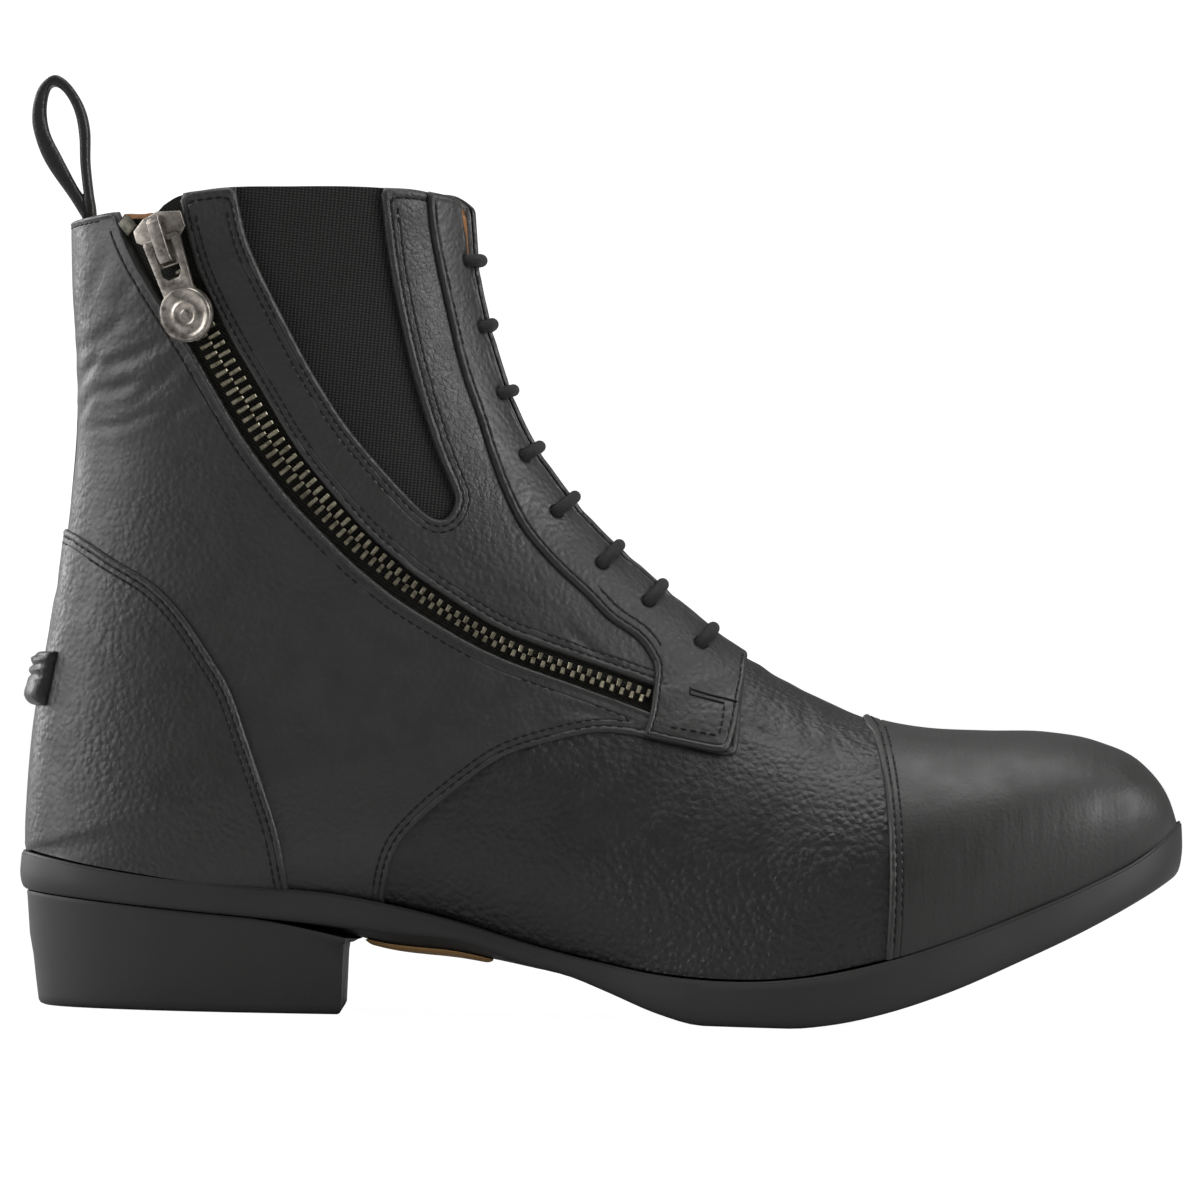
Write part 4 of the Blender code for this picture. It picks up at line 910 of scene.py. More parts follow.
def black_leather(name, pebble, depth, dark, light, rough, coat=0.0, streaks=False, crackled=False):
    """Black leather: pebbled grain, pores, a cloudy colour and a gloss that varies in patches."""
    finish = Finish(name, Specular_IOR_Level=0.5)
    place = finish.place()
    warp = finish.node("TexNoise", {"Vector": place, "Scale": 420.0, "Detail": 2.0}).outputs["Color"]
    shift = finish.node("VectorMath", {0: warp, 1: (0.0011, 0.0011, 0.0011)}, operation="MULTIPLY").outputs["Vector"]
    moved = finish.node("VectorMath", {0: place, 1: shift}, operation="ADD").outputs["Vector"]
    cells = finish.node("TexVoronoi", {"Vector": moved, "Scale": pebble, "Smoothness": 0.3}, feature="SMOOTH_F1")
    raised = finish.spread(cells.outputs["Distance"], 1.0, 0.0, 0.05, 0.75)
    cloud = finish.noise(26.0, 4.0, 0.6)
    grain = finish.math("MULTIPLY", raised, finish.spread(cloud, 0.4, 1.0, 0.35, 0.65))
    wrinkled = finish.noise(760.0, 4.0, 0.62, moved)
    fine = finish.math("MULTIPLY_ADD", wrinkled, 1.6, finish.noise(2600.0, 3.0, 0.6))
    height = finish.math("ADD", grain, finish.math("MULTIPLY", fine, 0.26))
    if streaks:
        stretched = finish.node("Mapping", {"Vector": place, "Scale": (420.0, 60.0, 60.0)}).outputs["Vector"]
        drawn = finish.noise(1.0, 3.0, at=stretched)
        height = finish.math("ADD", height, finish.math("MULTIPLY", drawn, 2.6))
    if crackled:
        # the strip ahead of the gusset, and more faintly the back of the shaft
        axes = finish.node("SeparateXYZ", {0: place}).outputs
        off_line = finish.math("SUBTRACT", finish.math("MULTIPLY_ADD", axes["Z"], 0.2727, axes["X"]), 0.0027)
        strip = finish.spread(finish.math("ABSOLUTE", off_line), 1.0, 0.0, 0.0055, 0.009)
        strip = finish.math("MULTIPLY", strip, finish.spread(axes["Z"], 0.0, 1.0, 0.112, 0.13))
        rear = finish.spread(axes["X"], 1.0, 0.0, -0.136, -0.092)
        rear = finish.math("MULTIPLY", rear, finish.spread(axes["Z"], 0.0, 1.0, 0.125, 0.15))
        where = finish.math("MAXIMUM", strip, finish.math("MULTIPLY", rear, 0.2))
        cracks = finish.node("TexVoronoi", {"Vector": moved, "Scale": 760.0}, feature="DISTANCE_TO_EDGE")
        lines = finish.math("MULTIPLY", finish.spread(cracks.outputs["Distance"], 0.0, 1.0, 0.0, 0.22), where)
        height = finish.math("ADD", height, finish.math("MULTIPLY", lines, 0.32))
    finish.bump(height, 0.85, depth)
    finish.colour(cloud, dark, light)
    finish.gloss(finish.noise(140.0, 3.0), *rough, 0.3, 0.7)
    if coat:
        finish.put(finish.shader, "Coat Weight", coat)
        finish.put(finish.shader, "Coat Roughness", 0.28)
    return finish.material


quarter_leather = black_leather(
    "quarter_leather", 620.0, 0.0002, (0.0165, 0.016, 0.0156), (0.026, 0.0252, 0.0246), (0.4, 0.54), crackled=True,
)
vamp_leather = black_leather(
    "vamp_leather", 540.0, 0.00042, (0.008, 0.0078, 0.0076), (0.012, 0.0116, 0.0112), (0.38, 0.5),
)
cap_leather = black_leather(
    "cap_leather", 900.0, 0.00007, (0.013, 0.0124, 0.0118), (0.02, 0.019, 0.018), (0.44, 0.58), 0.06, True,
)
counter_leather = black_leather(
    "counter_leather", 600.0, 0.0002, (0.014, 0.0135, 0.013), (0.021, 0.0203, 0.0196), (0.38, 0.52),
)
strap_leather = black_leather(
    "strap_leather", 800.0, 0.0001, (0.008, 0.0077, 0.0075), (0.013, 0.0124, 0.012), (0.38, 0.5),
)

TOE_CAP = np.concatenate([smooth_line(TOE_CAP_SEAM), [(200.0, 0.0), (200.0, 120.0), (66.5, 120.0)]])
COUNTER = np.concatenate([smooth_line(COUNTER_SEAM), [(-200.0, 0.0), (-200.0, 140.0)]])
FACING = np.concatenate([
    smooth_line(FACING_EDGE[:17]), smooth_line(FACING_EDGE[17:24]), [(60.0, 130.0), (60.0, 240.0)],
])
QUARTER = np.concatenate([
    smooth_line(QUARTER_SEAM[:11]), smooth_line(QUARTER_SEAM[10:]),
    [(60.0, 130.0), (60.0, 260.0), (-220.0, 260.0), (-220.0, 0.0)],
])
WINDOW = np.array([(-95.9, 218.0), *smooth_line(GUSSET[1:-1], 6), (-59.6, 218.0)])
ZIP_OPENING, ZIP_LINE, ZIP_TANGENT = zip_outline()
SIDES = ((-1, "inner"), (1, "outer"))
EDGE_LEVELS = (0.0, 0.14, 0.4, 0.8, 1.2)
DOUBLE = (1.75, 3.3)
DOUBLE_LEVELS = (1.45, 1.75, 2.05, 2.2, 2.85, 3.0, 3.3, 3.6, 3.75)
FOLD_RADIUS = 0.75
GROOVE_DEPTH = 0.24
GROOVE_HALF = 0.3
FAR = 99.0  # past any edge
# height of each panel's foot over the skin, and the thickness of its folded edge
QUARTER_FOOT, QUARTER_FOLD = -0.9, 1.3
CAP_FOOT, CAP_FOLD = 0.05, 1.05
COUNTER_FOOT, COUNTER_FOLD = 0.45, 0.95
FACING_FOOT, FACING_FOLD = 0.45, 1.0
ONE_ROW_BELOW = 5.5  # from here up to the collar a quarter has one row of stitches


def side_view(seen):
    """Places as x and z."""
    return seen[:, [0, 2]]


def from_throat(seen, places, side):
    """The distance from the throat's line."""
    return np.linalg.norm(seen - skin(places[:, 0], 0.0, side), axis=1)


def quarter_depth(seen, places, side):
    xz = side_view(seen)
    depth = np.minimum(depth_in(xz, QUARTER), -depth_in(xz, WINDOW))
    if side < 0:
        depth = np.minimum(depth, -depth_in(xz, ZIP_OPENING))
    front = np.where(places[:, 0] < THROAT_END, from_throat(seen, places, side), FAR)
    depth = np.minimum(depth, front - side_trim(seen, side, places[:, 0]))
    return np.minimum(depth, places[:, 0])


FACING_TRIM = (
    # height, how far the inner facing's edge stands back from the throat's line
    (140.0, 0.6), (150.0, 0.8), (160.0, 0.9), (164.0, 1.7), (168.0, 2.0), (172.0, 1.2), (182.0, 0.8),
    (186.0, 1.3), (191.0, 2.5), (196.0, 3.5), (201.0, 4.4), (206.0, 5.0),
)
FAR_TRIM = ((180.0, 0.0), (188.0, 0.7), (194.0, 1.2), (207.0, 1.7))
NOTCH = (0.75, 2.4)  # depth and half width of the notch at each lace
rim_s, rim_v = np.meshgrid(np.linspace(0, THROAT_END, 260), np.linspace(0, 0.32, 40), indexing="ij")
hole_rows = {}
for side in (-1, 1):
    rim_points = skin(rim_s, rim_v, side)
    hole_rows[side] = []
    for x, z in LACE_HOLES:
        off_hole = np.linalg.norm(rim_points - spot(x, z, side)[0], axis=-1)
        hole_rows[side].append(float(rim_s.flat[int(np.argmin(off_hole))]))


def side_trim(seen, side, s=None):
    """How far a facing's edge stands back from the throat's line: at its top, and in a notch at each lace."""
    table = FACING_TRIM if side < 0 else FAR_TRIM
    trim = np.interp(seen[:, 2], [row[0] for row in table], [row[1] for row in table])
    if s is not None:
        for row in hole_rows[side]:
            trim = trim + NOTCH[0] * np.exp(-(((s - row) / NOTCH[1]) ** 2))
    return trim


def below_zip(xz):
    """True for places on the lower lip of the zip's opening."""
    offset = xz[:, None, :] - ZIP_LINE[None]
    nearest = np.argmin(np.hypot(offset[..., 0], offset[..., 1]), axis=1)
    chosen = offset[np.arange(len(xz)), nearest]
    below = chosen[:, 0] * ZIP_TANGENT[nearest, 1] - chosen[:, 1] * ZIP_TANGENT[nearest, 0] > 0
    return below & (depth_in(xz, ZIP_OPENING) > -4.6)


def quarter_top(depth, base, places, side):
    second = np.clip((places[:, 0] - 4.6) / 1.2, 0, 1)
    lip = below_zip(side_view(base)) if side < 0 else np.zeros(len(depth), bool)
    ridge = np.where(lip, 0.4 * np.exp(-(((depth - 0.6) / 0.4) ** 2)), 0.0)
    edge = folded(depth, QUARTER_FOLD, DOUBLE, (np.where(lip, 0.0, 1.0), second))
    return QUARTER_FOOT + ridge + edge + relief(base, side) * np.clip(depth / 4.0, 0.25, 1)


def row_for_quarter(point, level, side):
    """Which stitches a quarter has: one row at the collar and below the zip, two round the window and the seam."""
    x, z = point[0], point[2]
    xz = np.array([[x, z]])
    if z < float(sole_height(x, 1)) + 3.0:
        return False
    if abs(z - float(curve(COLLAR, x))) < ONE_ROW_BELOW and level > DOUBLE[0]:
        return False
    if side < 0 and level == DOUBLE[0] and below_zip(xz)[0]:
        return False
    return depth_in(xz, FACING)[0] <= -0.5 and depth_in(xz, COUNTER)[0] < 1.0


LAST_QUARTER = float(KNOTS[20])
for side, which in SIDES:
    panel(
        "quarter_" + which, (quarter_leather, "leather", ["upper"]), (side,), quarter_depth, quarter_top, -1.25,
        EDGE_LEVELS + DOUBLE_LEVELS, (0.0, LAST_QUARTER), (0.0, 1.0, 104), 1.35, DOUBLE, row_for_quarter,
    )


def vamp_depth(seen, places, side):
    return np.minimum(7.0 - depth_in(side_view(seen), QUARTER), 60.0)


def vamp_top(depth, base, places, side):
    under_quarter = np.clip((9.0 - depth) / 8.0, 0, 1)
    return -0.05 - 0.95 * under_quarter * under_quarter * (3 - 2 * under_quarter) + relief(base, side)


panel(
    "vamp", (vamp_leather, "leather", ["upper"]), (-1, 1), vamp_depth, vamp_top, -1.45, (0.0,),
    (float(KNOTS[12]), TOE - 0.02), (0.0, 1.0, 84), 1.3, throat=False,
)


def cap_depth(seen, places, side):
    return depth_in(side_view(seen), TOE_CAP)


def cap_top(depth, base, places, side):
    return CAP_FOOT + folded(depth, CAP_FOLD, DOUBLE)


def row_on_leather(point, level, side):
    """Stitches stop just above the sole."""
    return point[2] > float(sole_height(point[0], 1)) + 2.0


panel(
    "toe_cap_leather", (cap_leather, "leather", ["toe_cap"]), (-1, 1), cap_depth, cap_top, 0.05,
    EDGE_LEVELS + DOUBLE_LEVELS, (float(KNOTS[17]), TOE - 0.02), (0.0, 1.0, 84), 1.2, DOUBLE, row_on_leather,
    throat=False,
)


def counter_depth(seen, places, side):
    return depth_in(side_view(seen), COUNTER)


def counter_top(depth, base, places, side):
    return COUNTER_FOOT + folded(depth, COUNTER_FOLD, DOUBLE) + relief(base, side) * np.clip(depth / 4.0, 0.2, 1)


panel(
    "counter_leather", (counter_leather, "leather", ["heel_counter"]), (-1, 1), counter_depth, counter_top, 0.4,
    EDGE_LEVELS + DOUBLE_LEVELS, (56.0, float(KNOTS[19])), (0.4, 1.0, 66), 1.3, DOUBLE, row_on_leather,
)

HOLE_RADIUS = 1.55
FACING_ROWS = (1.5, 3.3)
FACING_LEVELS = (1.2, 1.35, 1.5, 1.8, 1.95, 2.85, 3.0, 3.3, 3.6, 3.75)
hole_places = {side: np.array([spot(x, z, side)[0] for x, z in LACE_HOLES]) for side in (-1, 1)}


def facing_depth(seen, places, side):
    front = from_throat(seen, places, side) - side_trim(seen, side, places[:, 0])
    front = np.where(places[:, 0] < THROAT_END, front, np.abs(seen[:, 1]) - 0.15)
    depth = np.minimum(depth_in(side_view(seen), FACING), np.minimum(front, places[:, 0]))
    for hole in hole_places[side]:
        depth = np.minimum(depth, np.linalg.norm(seen - hole, axis=1) - HOLE_RADIUS)
    return depth


def facing_top(depth, base, places, side):
    """Stitched along the rear edge alone, with a second row low down, and pressed flat round each hole."""
    holes = np.min([np.linalg.norm(base - hole, axis=1) for hole in hole_places[side]], axis=0)
    first = np.where(np.abs(depth_in(side_view(base), FACING) - depth) < 0.08, 1.0, 0.0)
    second = first * np.clip((112.0 - base[:, 2]) / 4.0, 0, 1) * np.clip(14.0 - base[:, 0], 0, 1)
    sewn = folded(depth, FACING_FOLD, FACING_ROWS, (first, second))
    soft = np.clip((holes - HOLE_RADIUS - 1.0) / 3.0, 0, 1)
    flat = FACING_FOLD * np.clip(0.5 + (holes - HOLE_RADIUS) / 1.2, 0, 1)
    return FACING_FOOT + flat * (1 - soft) + sewn * soft + 0.4 * relief(base, side) * soft


def row_on_facing(point, level, side):
    near_rear = abs(depth_in(np.array([[point[0], point[2]]]), FACING)[0] - level) < 0.1
    return near_rear and (level == FACING_ROWS[0] or point[2] < 110.0 and point[0] < 13.5)


for side, which in SIDES:
    panel(
        f"facing_{which}_leather", (counter_leather, "leather", ["facing_" + which]), (side,), facing_depth,
        facing_top, 0.38, EDGE_LEVELS + FACING_LEVELS, (0.0, LAST_QUARTER), (0.0, 0.56, 70), 1.1, FACING_ROWS,
        row_on_facing,
    )

TAB_ROWS = (
    # side-view points of the rows that box in the facing's tab
    ((30.3, 80.0), (29.9, 76.4), (29.3, 72.6)), ((16.4, 74.4), (22.0, 73.6), (28.8, 72.4)),
)
for side, which in SIDES:
    for row in TAB_ROWS:
        found = [spot(x, z, side) for x, z in along(row, np.linspace(0, 1, 8))]
        base, normal = (np.array(part) for part in zip(*found))
        stitch_rows.append((base + 1.42 * normal, normal, base, side, f"facing_{which}_leather", 1.0, None))
# ---------------------------------------------------------------- Lining
# Tan lining leather inside the shaft and the foot, glued to the upper with its top edge level
# with the collar.


def level_top(height):
    """A panel's face at one height over the skin."""
    return lambda depth, base, places, side: np.full(len(depth), height)


def lining_depth(seen, places, side):
    xz = side_view(seen)
    depth = np.minimum(places[:, 0] - 0.7, -depth_in(xz, WINDOW) - 1.8)
    if side < 0:
        depth = np.minimum(depth, -depth_in(xz, ZIP_OPENING) - 1.7)
    front = from_throat(seen, places, side) - 0.9 * side_trim(seen, side)
    return np.minimum(depth, np.where(places[:, 0] < THROAT_END, front, FAR))


panel(
    "lining", (lining_leather, "lining"), (-1, 1), lining_depth, level_top(-1.3), -2.0, (0.0,),
    (0.0, TOE - 0.6), (0.0, 1.0, 56), 2.4,
)

# ---------------------------------------------------------------- Tongue
# The tongue is a soft strip of black leather behind the laces. It is sewn in at the foot of the
# throat, and its long edges are rounded.


def tongue_depth(seen, places, side):
    return np.minimum(19.5 - np.abs(seen[:, 1]), places[:, 0] - 2.6)


def tongue_top(depth, base, places, side):
    return -2.55 - 1.5 * (1 - rounded(depth, 1.2)) + 0.5 * relief(base, side)


panel(
    "tongue_leather", (strap_leather, "lining", ["tongue"]), (-1, 1), tongue_depth, tongue_top, -4.3,
    (0.0, 0.2, 0.6, 1.2), (2.0, float(KNOTS[15]) - 1.0), (0.0, 0.30, 30), 1.5, throat=False,
)

# ---------------------------------------------------------------- Elastic gussets
# A wide black elastic web fills each window: rubber threads run up the boot, covered by a tight
# weave that shows as a fine grid.
WAVE_RATE = 3.18  # bands in a unit of length at scale 1


def web_depth(seen, places, side):
    return np.minimum(depth_in(side_view(seen), WINDOW) + 1.6, places[:, 0])


web = Finish("elastic_web", Sheen_Weight=0.12, Specular_IOR_Level=0.25)
grid = web.turned(web.place(), 0.0, -4.0, 0.0)
ribs = web.waves(grid, 1000.0 / 0.95 / WAVE_RATE, 0.25, "X", Detail=1.0)
picks = web.waves(grid, 1000.0 / 0.7 / WAVE_RATE, 0.35, "Z", Detail=1.0)
both = web.math("MULTIPLY", ribs, picks)
web.colour(both, (0.005, 0.005, 0.0048), (0.042, 0.042, 0.04))
web.gloss(web.noise(60.0, 2.0), 0.78, 0.92)
web.bump(web.math("ADD", both, web.noise(2400.0, 3.0)), 0.9, 0.00022)
for side, which in SIDES:
    panel(
        f"gusset_{which}_web", (web.material, "elastic", ["gusset_" + which]), (side,), web_depth,
        level_top(-1.32), -2.2, (0.0,), (0.0, float(KNOTS[9])), (0.1, 0.9, 90), 1.4,
    )

# ---------------------------------------------------------------- Zip
# A metal zip runs from the collar down to the foot of the facing: a woven tape, brass teeth with
# an aged finish clamped along its edges, and a strip of lining leather behind them.


def under_collar(seen, places, clear, rise):
    """How far places lie under a top edge that is clear of the collar, and steps up ahead of the slider."""
    return places[:, 0] - clear + rise * np.clip((seen[:, 0] + 118.0) / 3.0, 0, 1)


def tape_depth(seen, places, side):
    return np.minimum(depth_in(side_view(seen), ZIP_OPENING) + 1.5, under_collar(seen, places, 1.5, 1.3))


def guard_depth(seen, places, side):
    return np.minimum(depth_in(side_view(seen), ZIP_OPENING) + 1.2, under_collar(seen, places, 0.4, -2.4))


tape = Finish("zip_tape_weave", Roughness=0.9, Specular_IOR_Level=0.2)
twill = tape.waves(tape.turned(tape.place(), 0.0, 58.0, 0.0), 1000.0 / 0.8 / WAVE_RATE, 0.6)
tape.colour(twill, (0.008, 0.008, 0.0068), (0.022, 0.022, 0.0185))
tape.bump(tape.math("ADD", twill, tape.noise(2400.0, 3.0)), 0.8, 0.0002)
panel(
    "zip_tape_web", (tape.material, "tape", ["zip_tape"]), (-1,), tape_depth, level_top(-1.32), -1.95, (0.0,),
    (0.0, LAST_QUARTER), (0.0, 1.0, 110), 1.4,
)
panel(
    "zip_guard", (lining_leather, "lining"), (-1,), guard_depth, level_top(-2.1), -2.9, (0.0,),
    (0.0, LAST_QUARTER), (0.0, 1.0, 80), 1.8,
)


def aged_metal(name, dark, light, rough_low, rough_high, scale):
    """Plated metal with an aged finish: darker, rougher patches among lighter, smoother ones."""
    finish = Finish(name, Metallic=1.0)
    cloud = finish.noise(scale, 5.0, 0.65)
    finish.colour(finish.spread(cloud, 0.0, 1.0, 0.36, 0.62), dark, light)
    finish.gloss(cloud, rough_high, rough_low)
    finish.bump(finish.noise(3000.0, 2.0), 0.3, 0.00004)
    return finish.material


TOOTH_PITCH = 2.65
TOOTH_SIZE = (1.35, 3.1, 1.5)
TOOTH_ROOT = 1.15  # breadth and height of a tooth where it grips the tape
TOOTH_SPREAD = ((0.0, 0.35, 0.44, 0.54, 0.6, 0.66, 0.85, 1.0), (3.2, 3.25, 2.9, 2.5, 2.1, 1.8, 1.8, 2.3))
FIRST_TOOTH = 7
CHAIN_HIDDEN = 4.5
tooth_metal = aged_metal("aged_brass", (0.13, 0.118, 0.082), (0.43, 0.395, 0.295), 0.28, 0.5, 700.0)
tooth_mesh = bmesh.new()
bmesh.ops.create_cube(tooth_mesh, size=1.0)
for corner in tooth_mesh.verts:
    x, y, z = corner.co
    wide, tall = (TOOTH_SIZE[0], TOOTH_SIZE[2]) if y > 0 else (TOOTH_ROOT, TOOTH_ROOT)
    corner.co = Vector((x * wide, y * TOOTH_SIZE[1], z * tall))
bmesh.ops.bevel(tooth_mesh, geom=list(tooth_mesh.edges), offset=0.22, segments=1, affect="EDGES", profile=0.5)
tooth_points = np.array([corner.co[:] for corner in tooth_mesh.verts])
tooth_mesh.verts.index_update()
tooth_faces = [[corner.index for corner in face.verts] for face in tooth_mesh.faces]
tooth_mesh.free()
chain_line = []
for q in np.linspace(20.0, ZIP_RUN[-1], 60):
    chain_line.append(np.concatenate(spot(float(curve(ZIP_TABLE, q, 1)), float(curve(ZIP_TABLE, q, 2)), -1)))
chain_line = np.array(chain_line)
length = run_of(chain_line[:, :3])
points, faces = [], []
for number in range(FIRST_TOOTH, int(2 * (length[-1] - CHAIN_HIDDEN) / TOOTH_PITCH)):
    q = 1.0 + number * TOOTH_PITCH / 2
    at = at_run(q, length, chain_line, 6)
    place, out = at[:3], unit(at[3:])
    ahead = unit(at_run(q + 0.5, length, chain_line, 3) - at_run(q - 0.5, length, chain_line, 3))
    across = np.cross(out, ahead) * (1 if number % 2 else -1)
    half_chain = float(np.interp(q / length[-1], *TOOTH_SPREAD))
    base = len(points)
    for p in tooth_points * np.array([0.86, 1.04 * half_chain / TOOTH_SIZE[1], 1.0]):
        points.append(place + ahead * p[0] + across * (p[1] + 0.48 * half_chain) + out * (p[2] - 0.25))
    faces += [[k + base for k in face] for face in tooth_faces]
piece("zip_teeth_brass", points, faces, tooth_metal, "teeth_metal", ["zip_teeth"], crease=25.0)

# ---------------------------------------------------------------- Slider and puller
# A cast slider in antique silver with a bridge over its top. The puller hangs on the bridge's
# pin: two arms round a slot, and a round pad with plain turned rings.
SLIDER_PIN = (-113.6, 195.4)
PULLER_DISC = (-107.0, 176.7)
ZIP_STOP = (-123.2, 199.0)
PIN_HEIGHT = 3.1
DISC_LIFT = 2.3
DISC_RADIUS = 7.1
PLATE_HALF = 0.75
SLIDER_BODY = (
    (-7.4, 0.6), (-5.5, 6.7), (-1.4, 6.7), (0.4, 4.6), (5.4, 4.2), (7.0, 3.0), (7.0, -3.0), (5.4, -4.2),
    (0.4, -4.6), (-1.6, -7.3), (-4.6, -7.2), (-6.8, -3.6),
)
BRIDGE = (
    (-6.2, 1.7), (-6.0, 4.4), (-4.8, 5.6), (4.0, 5.6), (6.0, 4.7), (6.6, 2.6), (6.5, 1.2), (5.3, 1.2),
    (5.1, 2.8), (4.1, 4.0), (2.6, 4.4), (-3.4, 4.4), (-4.3, 3.6), (-4.5, 1.7),
)
PULLER_SLOT = ((0.75, -2.7), (9.0, -2.7), (10.4, -1.4), (10.4, 1.4), (9.0, 2.7), (0.75, 2.7))
STOP_BLOCK = ((-2.2, -1.7), (2.2, -1.7), (2.2, 1.7), (-2.2, 1.7))
slider_metal = aged_metal("antique_silver", (0.13, 0.118, 0.105), (0.47, 0.43, 0.385), 0.3, 0.46, 300.0)
stop_metal = aged_metal("stop_metal", (0.05, 0.048, 0.04), (0.15, 0.145, 0.12), 0.4, 0.58, 500.0)
pin, pin_out = spot(*SLIDER_PIN, -1)
disc = spot(*PULLER_DISC, -1)[0]
down = disc - pin
down -= pin_out * np.dot(down, pin_out)
down /= np.linalg.norm(down)
sideways = np.cross(pin_out, down)


def framed(origin, first, second, third):
    """A matrix with its origin and its three directions."""
    matrix = Matrix(((*first,), (*second,), (*third,))).transposed().to_4x4()
    matrix.translation = Vector(origin)
    return matrix


def raise_face(work, faces, shift):
    """Flat faces pushed out into a solid."""
    pushed = bmesh.ops.extrude_face_region(work, geom=faces)
    bmesh.ops.translate(work, verts=[g for g in pushed["geom"] if isinstance(g, bmesh.types.BMVert)], vec=shift)


def cast_piece(work, soften, segments, sharp_from, name, matrix, material, replaces, body="boot"):
    """A solid with its sharp edges softened, set in place as a piece of the zip's metal."""
    bmesh.ops.recalc_face_normals(work, faces=work.faces)
    sharp = [e for e in work.edges if len(e.link_faces) == 2 and e.calc_face_angle(0) > sharp_from]
    bmesh.ops.bevel(
        work, geom=sharp, offset=soften, segments=segments, affect="EDGES", profile=0.5, clamp_overlap=True,
    )
    work.transform(matrix)
    bmesh.ops.scale(work, vec=(MM, MM, MM), verts=work.verts)
    mesh = bpy.data.meshes.new(name)
    work.to_mesh(mesh)
    work.free()
    attach(name, mesh, material, replaces, body, 38)


work = bmesh.new()
raise_face(work, [work.faces.new([work.verts.new((x, y, 0.7)) for x, y in SLIDER_BODY])], (0, 0, 1.9 - 0.7))
raise_face(work, [work.faces.new([work.verts.new((x, -1.7, z)) for x, z in BRIDGE])], (0, 3.4, 0))
slider_frame = framed(pin, down, sideways, pin_out)
cast_piece(work, 0.28, 3, 0.6, "slider_cast", slider_frame, slider_metal, ["zip_slider"])

half = 5.1
reach_down = float(np.linalg.norm(disc - pin))
outline = [(-PLATE_HALF, -half + 0.6), (-PLATE_HALF, half - 0.6), (0.2, half), (11.0, half - 0.7)]
first = math.asin((half - 0.9) / DISC_RADIUS)
for turn_at in np.linspace(math.pi - first, first - math.pi, 40):
    outline.append((reach_down + DISC_RADIUS * math.cos(turn_at), DISC_RADIUS * math.sin(turn_at)))
outline += [(11.0, 0.7 - half), (0.2, -half)]
direction = unit(disc + pin_out * DISC_LIFT - (pin + pin_out * PIN_HEIGHT))
puller_frame = framed(pin + pin_out * PIN_HEIGHT, direction, sideways, np.cross(direction, sideways))
work = bmesh.new()
for edge_line in (outline, PULLER_SLOT):
    ring = [work.verts.new((x, y, -PLATE_HALF)) for x, y in edge_line]
    for a, b in zip(ring, ring[1:] + ring[:1]):
        work.edges.new((a, b))
bmesh.ops.triangle_fill(work, edges=list(work.edges), use_beauty=True)
raise_face(work, list(work.faces), (0, 0, 2 * PLATE_HALF))
bmesh.ops.dissolve_limit(work, angle_limit=0.02, verts=list(work.verts), edges=list(work.edges))
cast_piece(work, 0.22, 2, 1.2, "puller_cast", puller_frame, slider_metal, ["zip_puller"], "zip_pull")

DISC_TURNING = (
    # radius, height over the puller's plate
    (0.0, 0.62), (0.9, 0.6), (1.3, 0.3), (1.9, 0.24), (2.4, 0.3), (2.7, 0.52), (3.1, 0.55), (3.5, 0.3),
    (4.1, 0.2), (4.9, 0.22), (5.3, 0.34), (5.7, 0.62), (6.2, 0.7), (6.6, 0.6), (6.85, 0.3), (6.9, -0.1),
)
around = 64
rings = len(DISC_TURNING) - 1
points = []
for radius, rise in DISC_TURNING[1:]:
    for angle in np.arange(around) * 2 * math.pi / around:
        points.append((reach_down + radius * math.cos(angle), radius * math.sin(angle), PLATE_HALF + rise))
points.append((reach_down, 0.0, PLATE_HALF + DISC_TURNING[0][1]))
faces = bands(rings, around) + [(k, (k + 1) % around, len(points) - 1) for k in range(around)]
faces.append([(rings - 1) * around + k for k in range(around)])
points = np.array([(puller_frame @ Vector(p))[:] for p in points])
piece("puller_rings", points, faces, slider_metal, "slider_metal", body="zip_pull", crease=30.0)

place, normal = spot(*ZIP_STOP, -1)
side_way = unit(np.cross(normal, down))
stop_down = unit(np.cross(side_way, normal) * 0.9 + side_way * 0.44)
work = bmesh.new()
raise_face(work, [work.faces.new([work.verts.new((x, y, -0.9)) for x, y in STOP_BLOCK])], (0, 0, 1.9))
stop_frame = framed(place + normal * 0.4, stop_down, np.cross(normal, stop_down), normal)
cast_piece(work, 0.35, 3, 0.6, "stop_block", stop_frame, stop_metal, ["zip_stop"])

# ---------------------------------------------------------------- Laces
# Round black waxed laces, 3.2 mm thick, drawn through the punched holes: each crossing comes up
# out of one facing, bows over the tongue and goes down into the other.
LACE_RADIUS = 1.6
SUNK = (2.4, 0.6, -1.0)  # depths at which a lace comes up through its hole
cord = Finish("waxed_lace", Roughness=0.68)
uv = cord.node("UVMap", uv_map="along").outputs["UV"]
plait = [cord.waves(cord.turned(uv, 0.0, 0.0, angle), 2.6, 0.2) for angle in (45, -45)]
braid = cord.math("MAXIMUM", *plait)
cord.colour(braid, (0.003, 0.003, 0.003), (0.012, 0.0118, 0.0115))
cord.bump(cord.math("ADD", braid, cord.noise(2600.0, 2.0)), 0.8, 0.00018)


